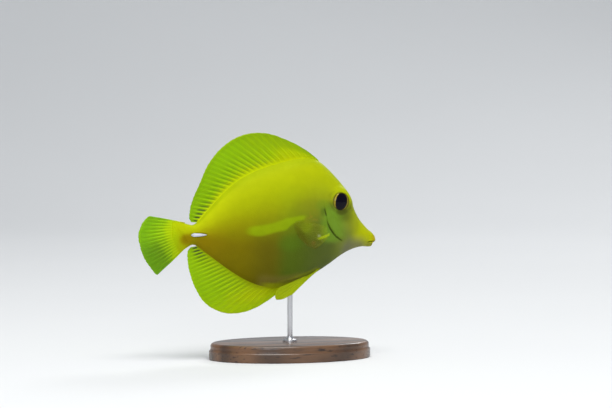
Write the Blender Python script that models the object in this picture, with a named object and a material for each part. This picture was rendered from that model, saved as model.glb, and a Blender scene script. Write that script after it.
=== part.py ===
"""A yellow tang, life size, as a still museum model on a small display stand.

The fish heads along +X, its left side is +Y and up is +Z. The origin is on the floor, under the middle
of the model's length. The fish's own sizes are in millimetres, x from the middle of its length and z from
the line through its tail stalk, and it hangs from an empty at that line's height above the floor.
"""
import math

import bmesh
import bpy
from mathutils import Matrix, Vector

MM = 0.001
AXIS_HEIGHT = 59.5
# Air between two pieces that touch
GAP = 0.3
# Well outside the fish, for the outer edges of cutters
FAR = 80.0
# A shrunken body is never thinner than this to each side
THINNEST = 0.05

# Back and belly of the flesh without its fins, each row x and z
BACK = [
    (-39.2, 6.9), (-37.2, 6.5), (-35.2, 5.9), (-33.2, 5.5), (-31.8, 5.9), (-30.2, 7.1), (-25, 12.5),
    (-18, 19.6), (-10.5, 25.7), (-1, 30.4), (9, 33.5), (19, 35.7), (26, 36.0), (31.2, 34.6),
    (35.5, 31.1), (39.8, 26.7), (43.3, 22.7), (46.1, 18.3), (49.0, 11.0), (51.2, 7.1), (54.2, 3.5),
    (56.2, 1.5), (57.5, 0.55), (58.7, -0.6), (59.5, -1.8), (60, -3.3),
]
BELLY = [
    (-39.2, -7.3), (-37.2, -6.2), (-35.2, -4.9), (-33.2, -4.0), (-31.4, -4.3), (-29, -6.0), (-25, -8.8),
    (-18.7, -13.4), (-12.4, -17.7), (-6.1, -21.3), (1, -24.0), (8, -25.0), (15, -24.6), (21.4, -22.8),
    (29.5, -18.5), (35.5, -14.9), (40.6, -11.4), (45, -8.9), (49.2, -7.3), (53, -6.6), (57.2, -6.7),
    (58.4, -6.1), (59.4, -4.9), (60, -3.3),
]
# Half of the thickness at mid height, each row x and y
HALF_WIDTH = [
    (-39.2, 1.1), (-37.2, 1.6), (-35, 2.1), (-29, 3.2), (-20, 5.0), (-10, 7.0), (0, 8.2), (11, 8.8),
    (22, 8.7), (30, 7.9), (36, 6.9), (41, 5.9), (46, 4.8), (50, 3.9), (54, 3.15), (56.2, 2.75),
    (57.8, 2.75), (59.0, 2.1), (59.7, 1.1), (60, 0.0),
]
# How the half width falls off above and below mid height: under 1 is boxy and over 1 is keeled
FALL_OFF = [(-39.2, 0.8), (-30, 1.0), (0, 1.1), (20, 1.1), (33, 0.95), (44, 0.8), (52, 0.85), (60, 0.9)]
RING_POINTS = 32
# Rings along the flesh, each row from x, to x and how many steps
RING_RUNS = [(-39.2, -33, 5), (-33, -26, 4), (-26, 26, 15), (26, 53, 18), (53, 57.6, 6), (57.6, 60, 5)]

# Edge of the gill cover from the nape down and forward to the throat, each row x and z
GILL_LINE = [
    (27.5, 42), (29.0, 32), (30.4, 21), (31.4, 12.5), (32.2, 9.2), (32.7, 6.2), (34.6, 2.6),
    (37.8, -1), (41.3, -3.4), (44.0, -6), (45.5, -12),
]
# Front edge of the gill cover's plate, down the cheek
CHEEK_LINE = [(35.3, 13.6), (36.2, 9.6), (37.2, 6.2), (39.4, 2.8), (42.6, -0.8)]
GILL_COVER_BACK = (31.2, 13.6)
GILL_COVER_THICKNESS = 1.3
GILL_RIM_LIFT = 0.45
SHOULDER_DIP = 0.35
# How far behind and in front of the gill line, and how far above and below its middle, these reach
GILL_REACH = 4.5
GILL_MIDDLE_Z, GILL_HALF_HEIGHT = 4.0, 14.0
JAW_X = 53.4
# The line of the mouth, from its corner to the lips
MOUTH = [(JAW_X, -4.7), (55.5, -4.4), (57.5, -4.05), (FAR, 0)]
LOWER_LIP_X, LOWER_LIP_Z = 57.0, -4.7
STALK_X = -26.0

EYE_X, EYE_Z = 40.3, 15.6
EYE_RADIUS, EYE_BULGE, EYE_DEPTH = 4.2, 1.15, 2.0
# The higher this is, the flatter the middle of the eye
EYE_FLATNESS = 2.4
# The eye looks more to the side than the cheek it sits in: the share of the cheek's slope that it takes up
EYE_SLOPE = 0.2
SOCKET_REACH = 3.0
# The skin comes to the eye's rim and a little over it, from this far outside
ORBIT_LIFT, ORBIT_REACH = 0.25, 4.0
# Two nostrils on each side, each row x, z and radius
NOSTRILS = [(45.6, 12.3, 0.42), (46.5, 11.2, 0.32)]
NOSTRIL_DEPTH, NOSTRIL_NARROWING = 1.0, 0.5

# The white blade on each side of the tail stalk, folded into its sheath with its point forward
BLADE_X, BLADE_Z = -30.6, 0.8
BLADE_LENGTH, BLADE_HEIGHT, BLADE_THICKNESS = 7.4, 1.7, 1.3
# Shares of its full height: at the blunt rear end, gained along its length, and left at the point
BLADE_REAR, BLADE_SWELL, BLADE_POINT = 0.35, 3.2, 0.02

# Half thickness of the skin between two fin rays, and the share of it lost towards the margin
MEMBRANE_HALF, MEMBRANE_TAPER = 0.27, 0.3
# Where the rows of points lie along a ray, and how far out the swollen root of the fin reaches
FIN_ROWS = (-1.0, 0.0, 0.15, 0.36, 0.68, 1.0)
FIN_SWELL_REACH = 0.3
# A ray's half width at its root, and its height over the skin, with the share that each loses on the way out
RAY_HALF, RAY_NARROWING = 0.42, 0.45
RAY_RIDGE, RAY_LOWERING = 0.3, 0.65
# A ray is never wider to each side than this share of the way to the next one
RAY_WIDEST = 0.34
# How far the skin between two rays draws in at the margin
MARGIN_NOTCH = 0.25
ROOT_SUNK = 2.0
# The back and anal fins wave from side to side: how far at the margin, and how many half turns
FIN_WAVE, FIN_WAVES = 0.9, 2.2
# Rays of the back fin from front to rear: x of the root, length, and lean above the rearward level
DORSAL_RAYS = 30
# How much closer together the rays stand towards the rear
DORSAL_CROWDING = 0.33
DORSAL = [
    (31.0, 1.6, 56), (28.6, 5.2, 52.5), (26, 8.6, 50.5), (22.5, 12.9, 48.5), (18.3, 17.7, 46), (12, 21.5, 42),
    (5.4, 22.4, 36), (-1, 21.3, 29), (-7.5, 18.8, 22), (-16, 14.2, 14), (-24, 9.9, 9), (-30.8, 4.0, 6),
]
# Rays of the anal fin from front to rear: x of the root, length, and lean below the rearward level
ANAL_RAYS = 24
ANAL_CROWDING = 0.22
ANAL = [
    (13.2, 3.8, 50), (11, 8.2, 49.5), (8.5, 13.0, 47.5), (5, 17.9, 43.5), (0.7, 21.9, 36.5), (-6.1, 22.9, 29),
    (-12.4, 20.4, 24), (-18.7, 16.4, 21), (-25, 11.1, 19), (-30.8, 4.4, 10),
]
# The tail fin opens like a fan from a hub inside the stalk, from its top ray down to its bottom one
TAIL_RAYS = 16
TAIL_HUB_X, TAIL_HUB_Z = -25.45, 4.6
TAIL_TOP, TAIL_BOTTOM = 10.9, -42.5
TAIL_ROOT_RADIUS = 13.4
TAIL_RADIUS = [
    (0.0, 30.0), (0.06, 31.4), (0.15, 33.0), (0.3, 34.65), (0.45, 34.7), (0.72, 34.4), (0.85, 33.95),
    (0.93, 33.8), (1.0, 33.9),
]
# The fan twists a little, and its outer rays bow outwards
TAIL_TWIST, TAIL_BOW = 1.2, 0.3
# Rays of the pectoral fins from the top one down: share of the root, length, and lean above that level
PECTORAL_RAYS = 14
PECTORAL = [(0.0, 16.5, 14), (0.14, 20.2, 9), (0.4, 18.6, -3), (0.7, 14.2, -20), (1.0, 9.6, -36)]
PECTORAL_ROOT = [(31.6, 4.0), (33.2, -1.4)]
PECTORAL_SPREAD, PECTORAL_RIDGE = 20.0, 0.18
PECTORAL_SUNK = (1.2, -1.6, -0.3)
# Rays of the pelvic fins from the outer spine inwards: share of the root, length, and lean below that level
PELVIC_RAYS = 6
PELVIC = [
    (0.0, 19.5, 38), (0.2, 24.5, 34), (0.4, 26.8, 30), (0.6, 26, 26), (0.8, 23.5, 21.5), (1.0, 20, 17.5),
]
PELVIC_ROOT = [(30.0, -16.6), (27.6, -18.8)]
PELVIC_SPREAD, PELVIC_RIDGE = 13.0, 0.25
PELVIC_SUNK = (1.4, -0.5, 1.6)
# Half thickness of each kind of fin at its root
MEDIAN_ROOT_HALF, TAIL_ROOT_HALF, PECTORAL_ROOT_HALF, PELVIC_ROOT_HALF = 0.95, 0.6, 0.75, 0.6

ROD_X = 16.2
ROD_RADIUS = 1.3
ROD_IN_FISH, ROD_IN_BASE = 3.0, 5.0
BASE_LENGTH, BASE_WIDTH, BASE_HEIGHT = 80.0, 54.0, 8.0
BASE_EDGE = 1.2
COLLAR_RADIUS, COLLAR_HEIGHT, COLLAR_RIM = 3.4, 2.2, 0.7


def smooth(table, x, column=1):
    """Value in a column of the table at x, on a smooth curve through its rows."""
    if x <= table[0][0]:
        return table[0][column]
    if x >= table[-1][0]:
        return table[-1][column]
    i = max(k for k in range(len(table) - 1) if table[k][0] <= x)

    def slope(k):
        a, b = table[max(k - 1, 0)], table[min(k + 1, len(table) - 1)]
        return (b[column] - a[column]) / (b[0] - a[0])

    start, end = table[i], table[i + 1]
    run = end[0] - start[0]
    t = (x - start[0]) / run
    return (
        (2 * t**3 - 3 * t**2 + 1) * start[column]
        + (t**3 - 2 * t**2 + t) * run * slope(i)
        + (3 * t**2 - 2 * t**3) * end[column]
        + (t**3 - t**2) * run * slope(i + 1)
    )


def metres(x, y, z):
    return Vector((x, y, z)) * MM


def material(name, colour, roughness, metallic=0.0):
    made = bpy.data.materials.get(name)
    if made is None:
        made = bpy.data.materials.new(name)
        made.use_nodes = True
        shader = made.node_tree.nodes["Principled BSDF"]
        shader.inputs["Base Color"].default_value = (*colour, 1)
        shader.inputs["Roughness"].default_value = roughness
        shader.inputs["Metallic"].default_value = metallic
    return made


def skin():
    return material("skin_yellow", (0.55, 0.50, 0.02), 0.45)


def membrane():
    return material("fin_yellow", (0.36, 0.50, 0.02), 0.4)


def polished_steel():
    return material("stand_steel", (0.62, 0.62, 0.64), 0.25, 1.0)


def add_object(name, data, parent, place):
    made = bpy.data.objects.new(name, data)
    made.parent = parent
    made.matrix_local = place
    bpy.context.scene.collection.objects.link(made)
    return made


def add_node(name, mesh, finish, parent, place=Matrix()):
    """A bmesh as a named piece of the model."""
    bmesh.ops.recalc_face_normals(mesh, faces=mesh.faces)
    data = bpy.data.meshes.new(name)
    mesh.to_mesh(data)
    mesh.free()
    data.shade_smooth()
    data.set_sharp_from_angle(angle=math.radians(50))
    data.materials.append(finish)
    return add_object(name, data, parent, place)


def add_cutter(name, mesh, parent, place=Matrix()):
    """A shape that only cuts others, and is no piece of the model."""
    made = add_node(name, mesh, skin(), parent, place)
    made.hide_render = True
    made.display_type = "WIRE"
    return made


def boolean(target, other, operation):
    made = target.modifiers.new(operation.lower(), "BOOLEAN")
    made.operation = operation
    made.object = other
    made.solver = "EXACT"


def keep_largest(target):
    """Applies the target's modifiers and keeps the largest closed surface that they leave."""
    mesh = bmesh.new()
    mesh.from_object(target, bpy.context.evaluated_depsgraph_get())
    target.modifiers.clear()
    pieces, seen = [], set()
    for first in mesh.verts:
        if first in seen:
            continue
        piece, waiting = set(), [first]
        while waiting:
            vert = waiting.pop()
            if vert not in piece:
                piece.add(vert)
                waiting += [edge.other_vert(vert) for edge in vert.link_edges]
        seen |= piece
        pieces.append(piece)
    largest = max(pieces, key=len)
    bmesh.ops.delete(mesh, geom=[v for v in mesh.verts if v not in largest], context="VERTS")
    mesh.to_mesh(target.data)
    mesh.free()


def turned_mesh(profile, segments):
    """A solid turned about Z, from rows of radius and height in millimetres."""
    mesh = bmesh.new()
    verts = [mesh.verts.new(metres(radius, 0, height)) for radius, height in profile]
    edges = [mesh.edges.new(pair) for pair in zip(verts, verts[1:])]
    whole_turn = 2 * math.pi
    bmesh.ops.spin(mesh, geom=verts + edges, axis=(0, 0, 1), cent=(0, 0, 0), angle=whole_turn, steps=segments)
    bmesh.ops.remove_doubles(mesh, verts=mesh.verts, dist=1e-6)
    return mesh


def rod_mesh(radius, low, high):
    return turned_mesh([(0, low), (radius, low), (radius, high), (0, high)], 16)


def prism_mesh(outline, low_y=-FAR, high_y=FAR):
    """A side-view outline extruded across the fish."""
    mesh = bmesh.new()
    side = mesh.faces.new([mesh.verts.new(metres(x, low_y, z)) for x, z in outline])
    extruded = bmesh.ops.extrude_face_region(mesh, geom=[side], use_keep_orig=True)
    moved = [v for v in extruded["geom"] if isinstance(v, bmesh.types.BMVert)]
    bmesh.ops.translate(mesh, vec=metres(0, high_y - low_y, 0), verts=moved)
    return mesh


def shifted(line, distance):
    """An open side-view line moved to its right, along the way it runs."""
    moved = []
    for k, (x, z) in enumerate(line):
        before, after = line[max(k - 1, 0)], line[min(k + 1, len(line) - 1)]
        run = Vector((after[0] - before[0], after[1] - before[1])).normalized()
        moved.append((x + run.y * distance, z - run.x * distance))
    return moved


def drawn_in(outline, inset):
    """A closed side-view outline with every edge moved inwards."""
    pairs = list(zip(outline, outline[1:] + outline[:1]))
    turn = math.copysign(1, sum(a[0] * b[1] - b[0] * a[1] for a, b in pairs))
    moved = []
    for (before, corner), (_, after) in zip(pairs[-1:] + pairs[:-1], pairs):
        into = Vector((corner[0] - before[0], corner[1] - before[1])).normalized()
        away = Vector((after[0] - corner[0], after[1] - corner[1])).normalized()
        inward = Vector((-into.y - away.y, into.x + away.x)) * turn
        inward *= inset / (1 + into.dot(away))
        moved.append((corner[0] + inward.x, corner[1] + inward.y))
    return moved


def bump(distance, reach):
    """1 at no distance, falling smoothly to 0 at the reach."""
    t = min(abs(distance) / reach, 1.0)
    return (1 - t * t) ** 2


def middle_and_half_height(x):
    top, bottom = smooth(BACK, x), smooth(BELLY, x)
    return (top + bottom) / 2, (top - bottom) / 2


def flank(x, z):
    """Half width of the flesh at a point of the side view."""
    middle_z, half_height = middle_and_half_height(x)
    up = (z - middle_z) / half_height
    side = math.sqrt(max(1 - up * up, 0.0))
    return smooth(HALF_WIDTH, x) * side ** smooth(FALL_OFF, x)


def flank_slope(x, z):
    """How fast the half width grows forward and upward."""
    step = 1.0
    across = (flank(x + step, z) - flank(x - step, z)) / (2 * step)
    upward = (flank(x, z + step) - flank(x, z - step)) / (2 * step)
    return across, upward


def near_gill_line(x, z):
    rows = sorted((line_z, line_x) for line_x, line_z in GILL_LINE)
    return bump(x - smooth(rows, z), GILL_REACH) * bump(z - GILL_MIDDLE_Z, GILL_HALF_HEIGHT)


def eye_level(x, z):
    """Half width of the head where the plane of the eye's rim passes."""
    across, upward = flank_slope(EYE_X, EYE_Z)
    return flank(EYE_X, EYE_Z) + EYE_SLOPE * (across * (x - EYE_X) + upward * (z - EYE_Z))


def head_relief(x, z):
    """Extra half width of the head: the rim of the gill cover and the skin that comes to the eye's rim."""
    from_rim = max(math.hypot(x - EYE_X, z - EYE_Z) - EYE_RADIUS, 0.0)
    orbit = (eye_level(x, z) + ORBIT_LIFT - flank(x, z)) * bump(from_rim, ORBIT_REACH)
    return GILL_RIM_LIFT * near_gill_line(x, z) + orbit


def trunk_relief(x, z):
    """Extra half width of the trunk: the dip that the gill cover closes over."""
    return -SHOULDER_DIP * near_gill_line(x, z)


def no_relief(_x, _z):
    return 0.0


def flesh_mesh(grow=0.0, relief=no_relief):
    """The whole flesh as one lofted body, grown by some millimetres on every side."""
    mesh = bmesh.new()
    tail_x, nose_x = BACK[0][0], BACK[-1][0]
    middle_x, stretch = (tail_x + nose_x) / 2, 1 + 2 * grow / (nose_x - tail_x)
    places = [tail_x]
    for start, end, steps in RING_RUNS:
        places += [start + (end - start) * (k + 1) / steps for k in range(steps)]
    rings = []
    for x in places[:-1]:
        middle_z, half_height = middle_and_half_height(x)
        height, width = max(half_height + grow, THINNEST), max(smooth(HALF_WIDTH, x) + grow, THINNEST)
        ring = []
        for k in range(RING_POINTS):
            angle = 2 * math.pi * k / RING_POINTS
            side, up = math.cos(angle), math.sin(angle)
            z = middle_z + up * height
            y = width * abs(side) ** smooth(FALL_OFF, x) + relief(x, z) * min(1.0, 2.5 * abs(side))
            out = math.copysign(y, side) if abs(side) > 1e-9 else 0.0
            ring.append(mesh.verts.new(metres(middle_x + (x - middle_x) * stretch, out, z)))
        rings.append(ring)
    nose = mesh.verts.new(metres(nose_x + grow, 0, BACK[-1][1]))
    for k in range(RING_POINTS):
        after = (k + 1) % RING_POINTS
        for ring, following in zip(rings, rings[1:]):
            mesh.faces.new((ring[k], ring[after], following[after], following[k]))
        mesh.faces.new((rings[-1][k], rings[-1][after], nose))
    bmesh.ops.poke(mesh, faces=[mesh.faces.new(rings[0])])
    return mesh


def add_flesh(name, region, fish, relief=no_relief):
    """The flesh inside a side-view region."""
    made = add_node(name, flesh_mesh(relief=relief), skin(), fish)
    boolean(made, add_cutter(name + "_region", prism_mesh(region), fish), "INTERSECT")
    return made


def on_flank(x, z, side, slope=1.0):
    """A place on the flank whose Z axis points out of the skin. side is -1 on the right and 1 on the left.

    With a lower slope it looks less forward and up, and with none straight to the side.
    """
    across, upward = flank_slope(x, z)
    outward = Vector((-across * slope, side, -upward * slope)).normalized()
    forward = Vector((1, 0, 0))
    forward = (forward - forward.project(outward)).normalized()
    turned = Matrix((forward, outward.cross(forward), outward)).transposed().to_4x4()
    return Matrix.Translation(metres(x, side * flank(x, z), z)) @ turned


def eye_mesh():
    """A low dome with a flat back, its axis along Z."""
    steps = 5
    rows = []
    for k in range(steps + 1):
        share = k / steps
        rows.append((EYE_RADIUS * share, EYE_BULGE * (1 - share**EYE_FLATNESS)))
    rows += [(EYE_RADIUS, -EYE_DEPTH), (0.0, -EYE_DEPTH)]
    return turned_mesh(rows, 22)


def socket_mesh():
    """The round hole that the eye sits in."""
    radius, floor_z = EYE_RADIUS + GAP, -EYE_DEPTH - GAP
    return turned_mesh([(0, floor_z), (radius, floor_z), (radius, SOCKET_REACH), (0, SOCKET_REACH)], 22)


def nostril_mesh(radius):
    floor_z, mouth_z = -NOSTRIL_DEPTH, NOSTRIL_DEPTH
    wall = [(radius * NOSTRIL_NARROWING, floor_z), (radius, 0), (radius, mouth_z)]
    return turned_mesh([(0, floor_z)] + wall + [(0, mouth_z)], 8)


def cut_eyes_and_nostrils(head, fish):
    eye_dark = material("eye_dark", (0.012, 0.010, 0.012), 0.08)
    for side, word in ((-1, "right"), (1, "left")):
        place = on_flank(EYE_X, EYE_Z, side, EYE_SLOPE)
        add_node("eye_" + word, eye_mesh(), eye_dark, fish, place)
        boolean(head, add_cutter("eye_socket_" + word, socket_mesh(), fish, place), "DIFFERENCE")
        for number, (x, z, radius) in enumerate(NOSTRILS):
            pit = add_cutter(f"nostril_{word}_{number}", nostril_mesh(radius), fish, on_flank(x, z, side))
            boolean(head, pit, "DIFFERENCE")


def gill_cover_outline(inset):
    top_z, throat_z = GILL_COVER_BACK[1], -6
    rear = [GILL_COVER_BACK] + [(x, z) for x, z in GILL_LINE if throat_z < z < top_z]
    return drawn_in(rear + CHEEK_LINE[::-1], inset)


def add_gill_covers(head, fish):
    """On each side a curved plate lies in a recess of the head."""
    for side, word in ((-1, "right"), (1, "left")):
        near, far = sorted((side * 2.0, side * FAR))
        floor_depth = GILL_COVER_THICKNESS + GAP
        recess = add_cutter("gill_recess_" + word, prism_mesh(gill_cover_outline(-GAP / 2), near, far), fish)
        recess_floor = add_cutter("gill_recess_floor_" + word, flesh_mesh(-floor_depth, head_relief), fish)
        boolean(recess, recess_floor, "DIFFERENCE")
        keep_largest(recess)
        boolean(head, recess, "DIFFERENCE")
        cover = add_node("gill_cover_" + word, flesh_mesh(relief=head_relief), skin(), fish)
        plate = add_cutter("gill_plate_" + word, prism_mesh(gill_cover_outline(GAP / 2), near, far), fish)
        inside = add_cutter("gill_inside_" + word, flesh_mesh(-GILL_COVER_THICKNESS, head_relief), fish)
        boolean(cover, plate, "INTERSECT")
        boolean(cover, inside, "DIFFERENCE")
        keep_largest(cover)


def add_head(fish):
    rear = shifted(GILL_LINE, -GAP / 2)
    front_x = JAW_X - GAP / 2
    region = rear + [(front_x, -FAR), (front_x, FAR), (rear[0][0], FAR)]
    head = add_flesh("head", region, fish, head_relief)
    add_gill_covers(head, fish)
    cut_eyes_and_nostrils(head, fish)
    keep_largest(head)


def add_jaws(fish):
    """Two jaws ahead of the head, the upper lip hanging over the lower one."""
    rear_x = JAW_X + GAP / 2
    upper_edge = [(max(x, rear_x), z + GAP / 2) for x, z in MOUTH]
    keep_largest(add_flesh("upper_jaw", upper_edge + [(FAR, FAR), (rear_x, FAR)], fish))
    corner, middle = MOUTH[:2]
    lower_edge = [(rear_x, corner[1] - GAP / 2), (middle[0], middle[1] - GAP)]
    lower_edge += [(LOWER_LIP_X, LOWER_LIP_Z), (FAR, LOWER_LIP_Z - 1)]
    keep_largest(add_flesh("lower_jaw", lower_edge + [(FAR, -FAR), (rear_x, -FAR)], fish))


def add_trunk(fish):
    front = shifted(GILL_LINE, GAP / 2)
    rear_x = STALK_X + GAP / 2
    region = front + [(front[-1][0], -FAR), (rear_x, -FAR), (rear_x, FAR)]
    trunk = add_flesh("trunk", region, fish, trunk_relief)
    hole = rod_mesh(ROD_RADIUS + GAP, -FAR, smooth(BELLY, ROD_X) + ROD_IN_FISH + GAP)
    place = Matrix.Translation(metres(ROD_X, 0, 0))
    boolean(trunk, add_cutter("rod_hole", hole, fish, place), "DIFFERENCE")
    keep_largest(trunk)


def blade_mesh(side, grow=0.0):
    """A flat lens along the flank, blunt behind and pointed in front."""
    steps, around = 8, 8
    mesh = bmesh.new()
    rings = []
    for k in range(steps + 1):
        share = k / steps
        x = BLADE_X + (BLADE_LENGTH + 2 * grow) * (share - 0.5)
        plump = min(1.0, BLADE_SWELL * share + BLADE_REAR) * (1 - share**2.2) ** 0.75 + BLADE_POINT
        ring = []
        for n in range(around):
            angle = 2 * math.pi * n / around
            y = (BLADE_THICKNESS / 2 * plump + grow) * math.cos(angle)
            z = (BLADE_HEIGHT / 2 * plump + grow) * math.sin(angle)
            ring.append(mesh.verts.new(metres(x, side * flank(x, BLADE_Z) + y, BLADE_Z + z)))
        rings.append(ring)
    for ring, following in zip(rings, rings[1:]):
        for n in range(around):
            after = (n + 1) % around
            mesh.faces.new((ring[n], ring[after], following[after], following[n]))
    mesh.faces.new(rings[0])
    mesh.faces.new(rings[-1])
    return mesh


def add_tail_stalk(fish):
    front_x = STALK_X - GAP / 2
    stalk = add_flesh("tail_stalk", [(front_x, FAR), (front_x, -FAR), (-FAR, -FAR), (-FAR, FAR)], fish)
    blade_white = material("blade_white", (0.8, 0.82, 0.85), 0.3)
    for side, word in ((-1, "right"), (1, "left")):
        add_node("tail_blade_" + word, blade_mesh(side), blade_white, fish)
        boolean(stalk, add_cutter("blade_sheath_" + word, blade_mesh(side, GAP), fish), "DIFFERENCE")
    keep_largest(stalk)


class Fin:
    """A fin between its root and its margin, with rays as ridges in its own surface.

    root and tip give the two ends of the ray at u, which runs from 0 at the first ray to 1 at the last.
    Along a ray t runs from 0 at the root to 1 at the margin, and is -1 inside the flesh.
    """

    def __init__(self, name, rays, root, tip, **sizes):
        self.name, self.rays, self.root, self.tip = name, rays, root, tip
        self.root_half = sizes["root_half"]
        self.ridge = sizes.get("ridge", RAY_RIDGE)
        self.sunk = sizes.get("sunk", lambda u: (root(u) - tip(u)).normalized() * ROOT_SUNK)
        self.bend = sizes.get("bend", lambda u, t: Vector((0, 0, 0)))

    def point(self, u, t):
        """Middle of the fin's thickness."""
        if t < 0:
            return self.root(u) - self.sunk(u) * t
        return self.root(u).lerp(self.tip(u), t) + self.bend(u, t)

    def to_next_ray(self, u, t):
        step = 1 / (self.rays - 1)
        low, high = max(u - step, 0.0), min(u + step, 1.0)
        return (self.point(high, t) - self.point(low, t)) / (high - low) * step

    def facing(self, u, t):
        """The way out of the fin's flat side."""
        step = 0.1
        inner = -1.0 if t < 0 else max(t - step, 0.0)
        along = self.point(u, min(t + step, 1.0)) - self.point(u, inner)
        return along.cross(self.to_next_ray(u, t)).normalized()

    def half_thickness(self, t, crest):
        outward = max(t, 0.0)
        swell = (self.root_half - MEMBRANE_HALF) * max(0.0, 1 - outward / FIN_SWELL_REACH) ** 1.5
        ridge = self.ridge * crest * (1 - RAY_LOWERING * outward)
        return MEMBRANE_HALF * (1 - MEMBRANE_TAPER * outward) + swell + ridge

    def mesh(self):
        """Each ray is a crest between two edges, and the skin between two rays runs from edge to edge."""
        mesh = bmesh.new()
        near, far = [], []
        for ray in range(self.rays):
            u = ray / (self.rays - 1)
            for beside, crest in ((-1, 0), (0, 1), (1, 0)):
                front, back = [], []
                for t in FIN_ROWS:
                    across = self.to_next_ray(u, t)
                    half = min(RAY_HALF * (1 - RAY_NARROWING * max(t, 0)), RAY_WIDEST * across.length)
                    place = self.point(u, t) + across.normalized() * beside * half
                    if t == 1.0 and not crest:
                        place += (self.root(u) - self.tip(u)).normalized() * MARGIN_NOTCH
                    out = self.facing(u, t) * self.half_thickness(t, crest)
                    front.append(mesh.verts.new((place - out) * MM))
                    back.append(mesh.verts.new((place + out) * MM))
                near.append(front)
                far.append(back)
        last, margin = len(near) - 1, len(FIN_ROWS) - 1
        for grid in (near, far):
            for column, following in zip(grid, grid[1:]):
                for k in range(margin):
                    mesh.faces.new((column[k], column[k + 1], following[k + 1]))
                    mesh.faces.new((column[k], following[k + 1], following[k]))
        border = [(c, 0) for c in range(last)] + [(last, k) for k in range(margin)]
        border += [(c, margin) for c in range(last, 0, -1)] + [(0, k) for k in range(margin, 0, -1)]
        for (c, k), (d, m) in zip(border, border[1:] + border[:1]):
            edge_face = mesh.faces.new((near[c][k], near[d][m], far[d][m], far[c][k]))
            bmesh.ops.triangulate(mesh, faces=[edge_face])
        return mesh

    def add(self, fish, grown_flesh):
        made = add_node(self.name, self.mesh(), membrane(), fish)
        boolean(made, grown_flesh, "DIFFERENCE")
        keep_largest(made)


def median_fin(name, rays, crowding, table, outline, upward):
    """A fin along the back or the belly. upward is 1 above and -1 below."""
    first_x, last_x = table[0][0], table[-1][0]
    by_x = sorted(table)

    def root(u):
        x = first_x + (last_x - first_x) * u * (1 + crowding * (1 - u))
        return Vector((x, 0, smooth(outline, x)))

    def tip(u):
        start = root(u)
        length, lean = smooth(by_x, start.x, 1), math.radians(smooth(by_x, start.x, 2))
        return start + Vector((-math.cos(lean), 0, upward * math.sin(lean))) * length

    def bend(u, t):
        return Vector((0, FIN_WAVE * t * t * math.sin(FIN_WAVES * math.pi * u), 0))

    return Fin(name, rays, root, tip, bend=bend, root_half=MEDIAN_ROOT_HALF)


def tail_fin():
    def spoke(u, radius):
        angle = math.radians(TAIL_TOP + (TAIL_BOTTOM - TAIL_TOP) * u)
        return Vector((TAIL_HUB_X - radius * math.cos(angle), 0, TAIL_HUB_Z + radius * math.sin(angle)))

    def root(u):
        return spoke(u, TAIL_ROOT_RADIUS)

    def tip(u):
        return spoke(u, smooth(TAIL_RADIUS, u))

    def bend(u, t):
        return Vector((0, TAIL_TWIST * t * t * (2 * u - 1), TAIL_BOW * t * (1 - t) * (1 - 2 * u)))

    return Fin("tail_fin", TAIL_RAYS, root, tip, bend=bend, root_half=TAIL_ROOT_HALF)


def paired_fin(name, side, rays, table, root_line, spread, inwards, **sizes):
    """A fin on one flank: its rays lean back and stand off the body by the spread, in degrees."""
    out = math.radians(spread)

    def root(u):
        x, z = (a + (b - a) * u for a, b in zip(*root_line))
        return Vector((x, side * flank(x, z), z))

    def tip(u):
        length, lean = smooth(table, u, 1), math.radians(smooth(table, u, 2))
        back = Vector((-math.cos(lean), 0, math.sin(lean)))
        return root(u) + (back * math.cos(out) + Vector((0, side * math.sin(out), 0))) * length

    def sunk(_u):
        return Vector((inwards[0], side * inwards[1], inwards[2]))

    return Fin(name, rays, root, tip, sunk=sunk, **sizes)


def add_fins(fish):
    grown = add_cutter("flesh_and_gap", flesh_mesh(GAP), fish)
    median_fin("dorsal_fin", DORSAL_RAYS, DORSAL_CROWDING, DORSAL, BACK, 1).add(fish, grown)
    median_fin("anal_fin", ANAL_RAYS, ANAL_CROWDING, ANAL, BELLY, -1).add(fish, grown)
    tail_fin().add(fish, grown)
    below_level = [(u, length, -lean) for u, length, lean in PELVIC]
    for side, word in ((-1, "right"), (1, "left")):
        paired_fin(
            "pectoral_fin_" + word, side, PECTORAL_RAYS, PECTORAL, PECTORAL_ROOT,
            PECTORAL_SPREAD, PECTORAL_SUNK, root_half=PECTORAL_ROOT_HALF, ridge=PECTORAL_RIDGE,
        ).add(fish, grown)
        paired_fin(
            "pelvic_fin_" + word, side, PELVIC_RAYS, below_level, PELVIC_ROOT,
            PELVIC_SPREAD, PELVIC_SUNK, root_half=PELVIC_ROOT_HALF, ridge=PELVIC_RIDGE,
        ).add(fish, grown)


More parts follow.
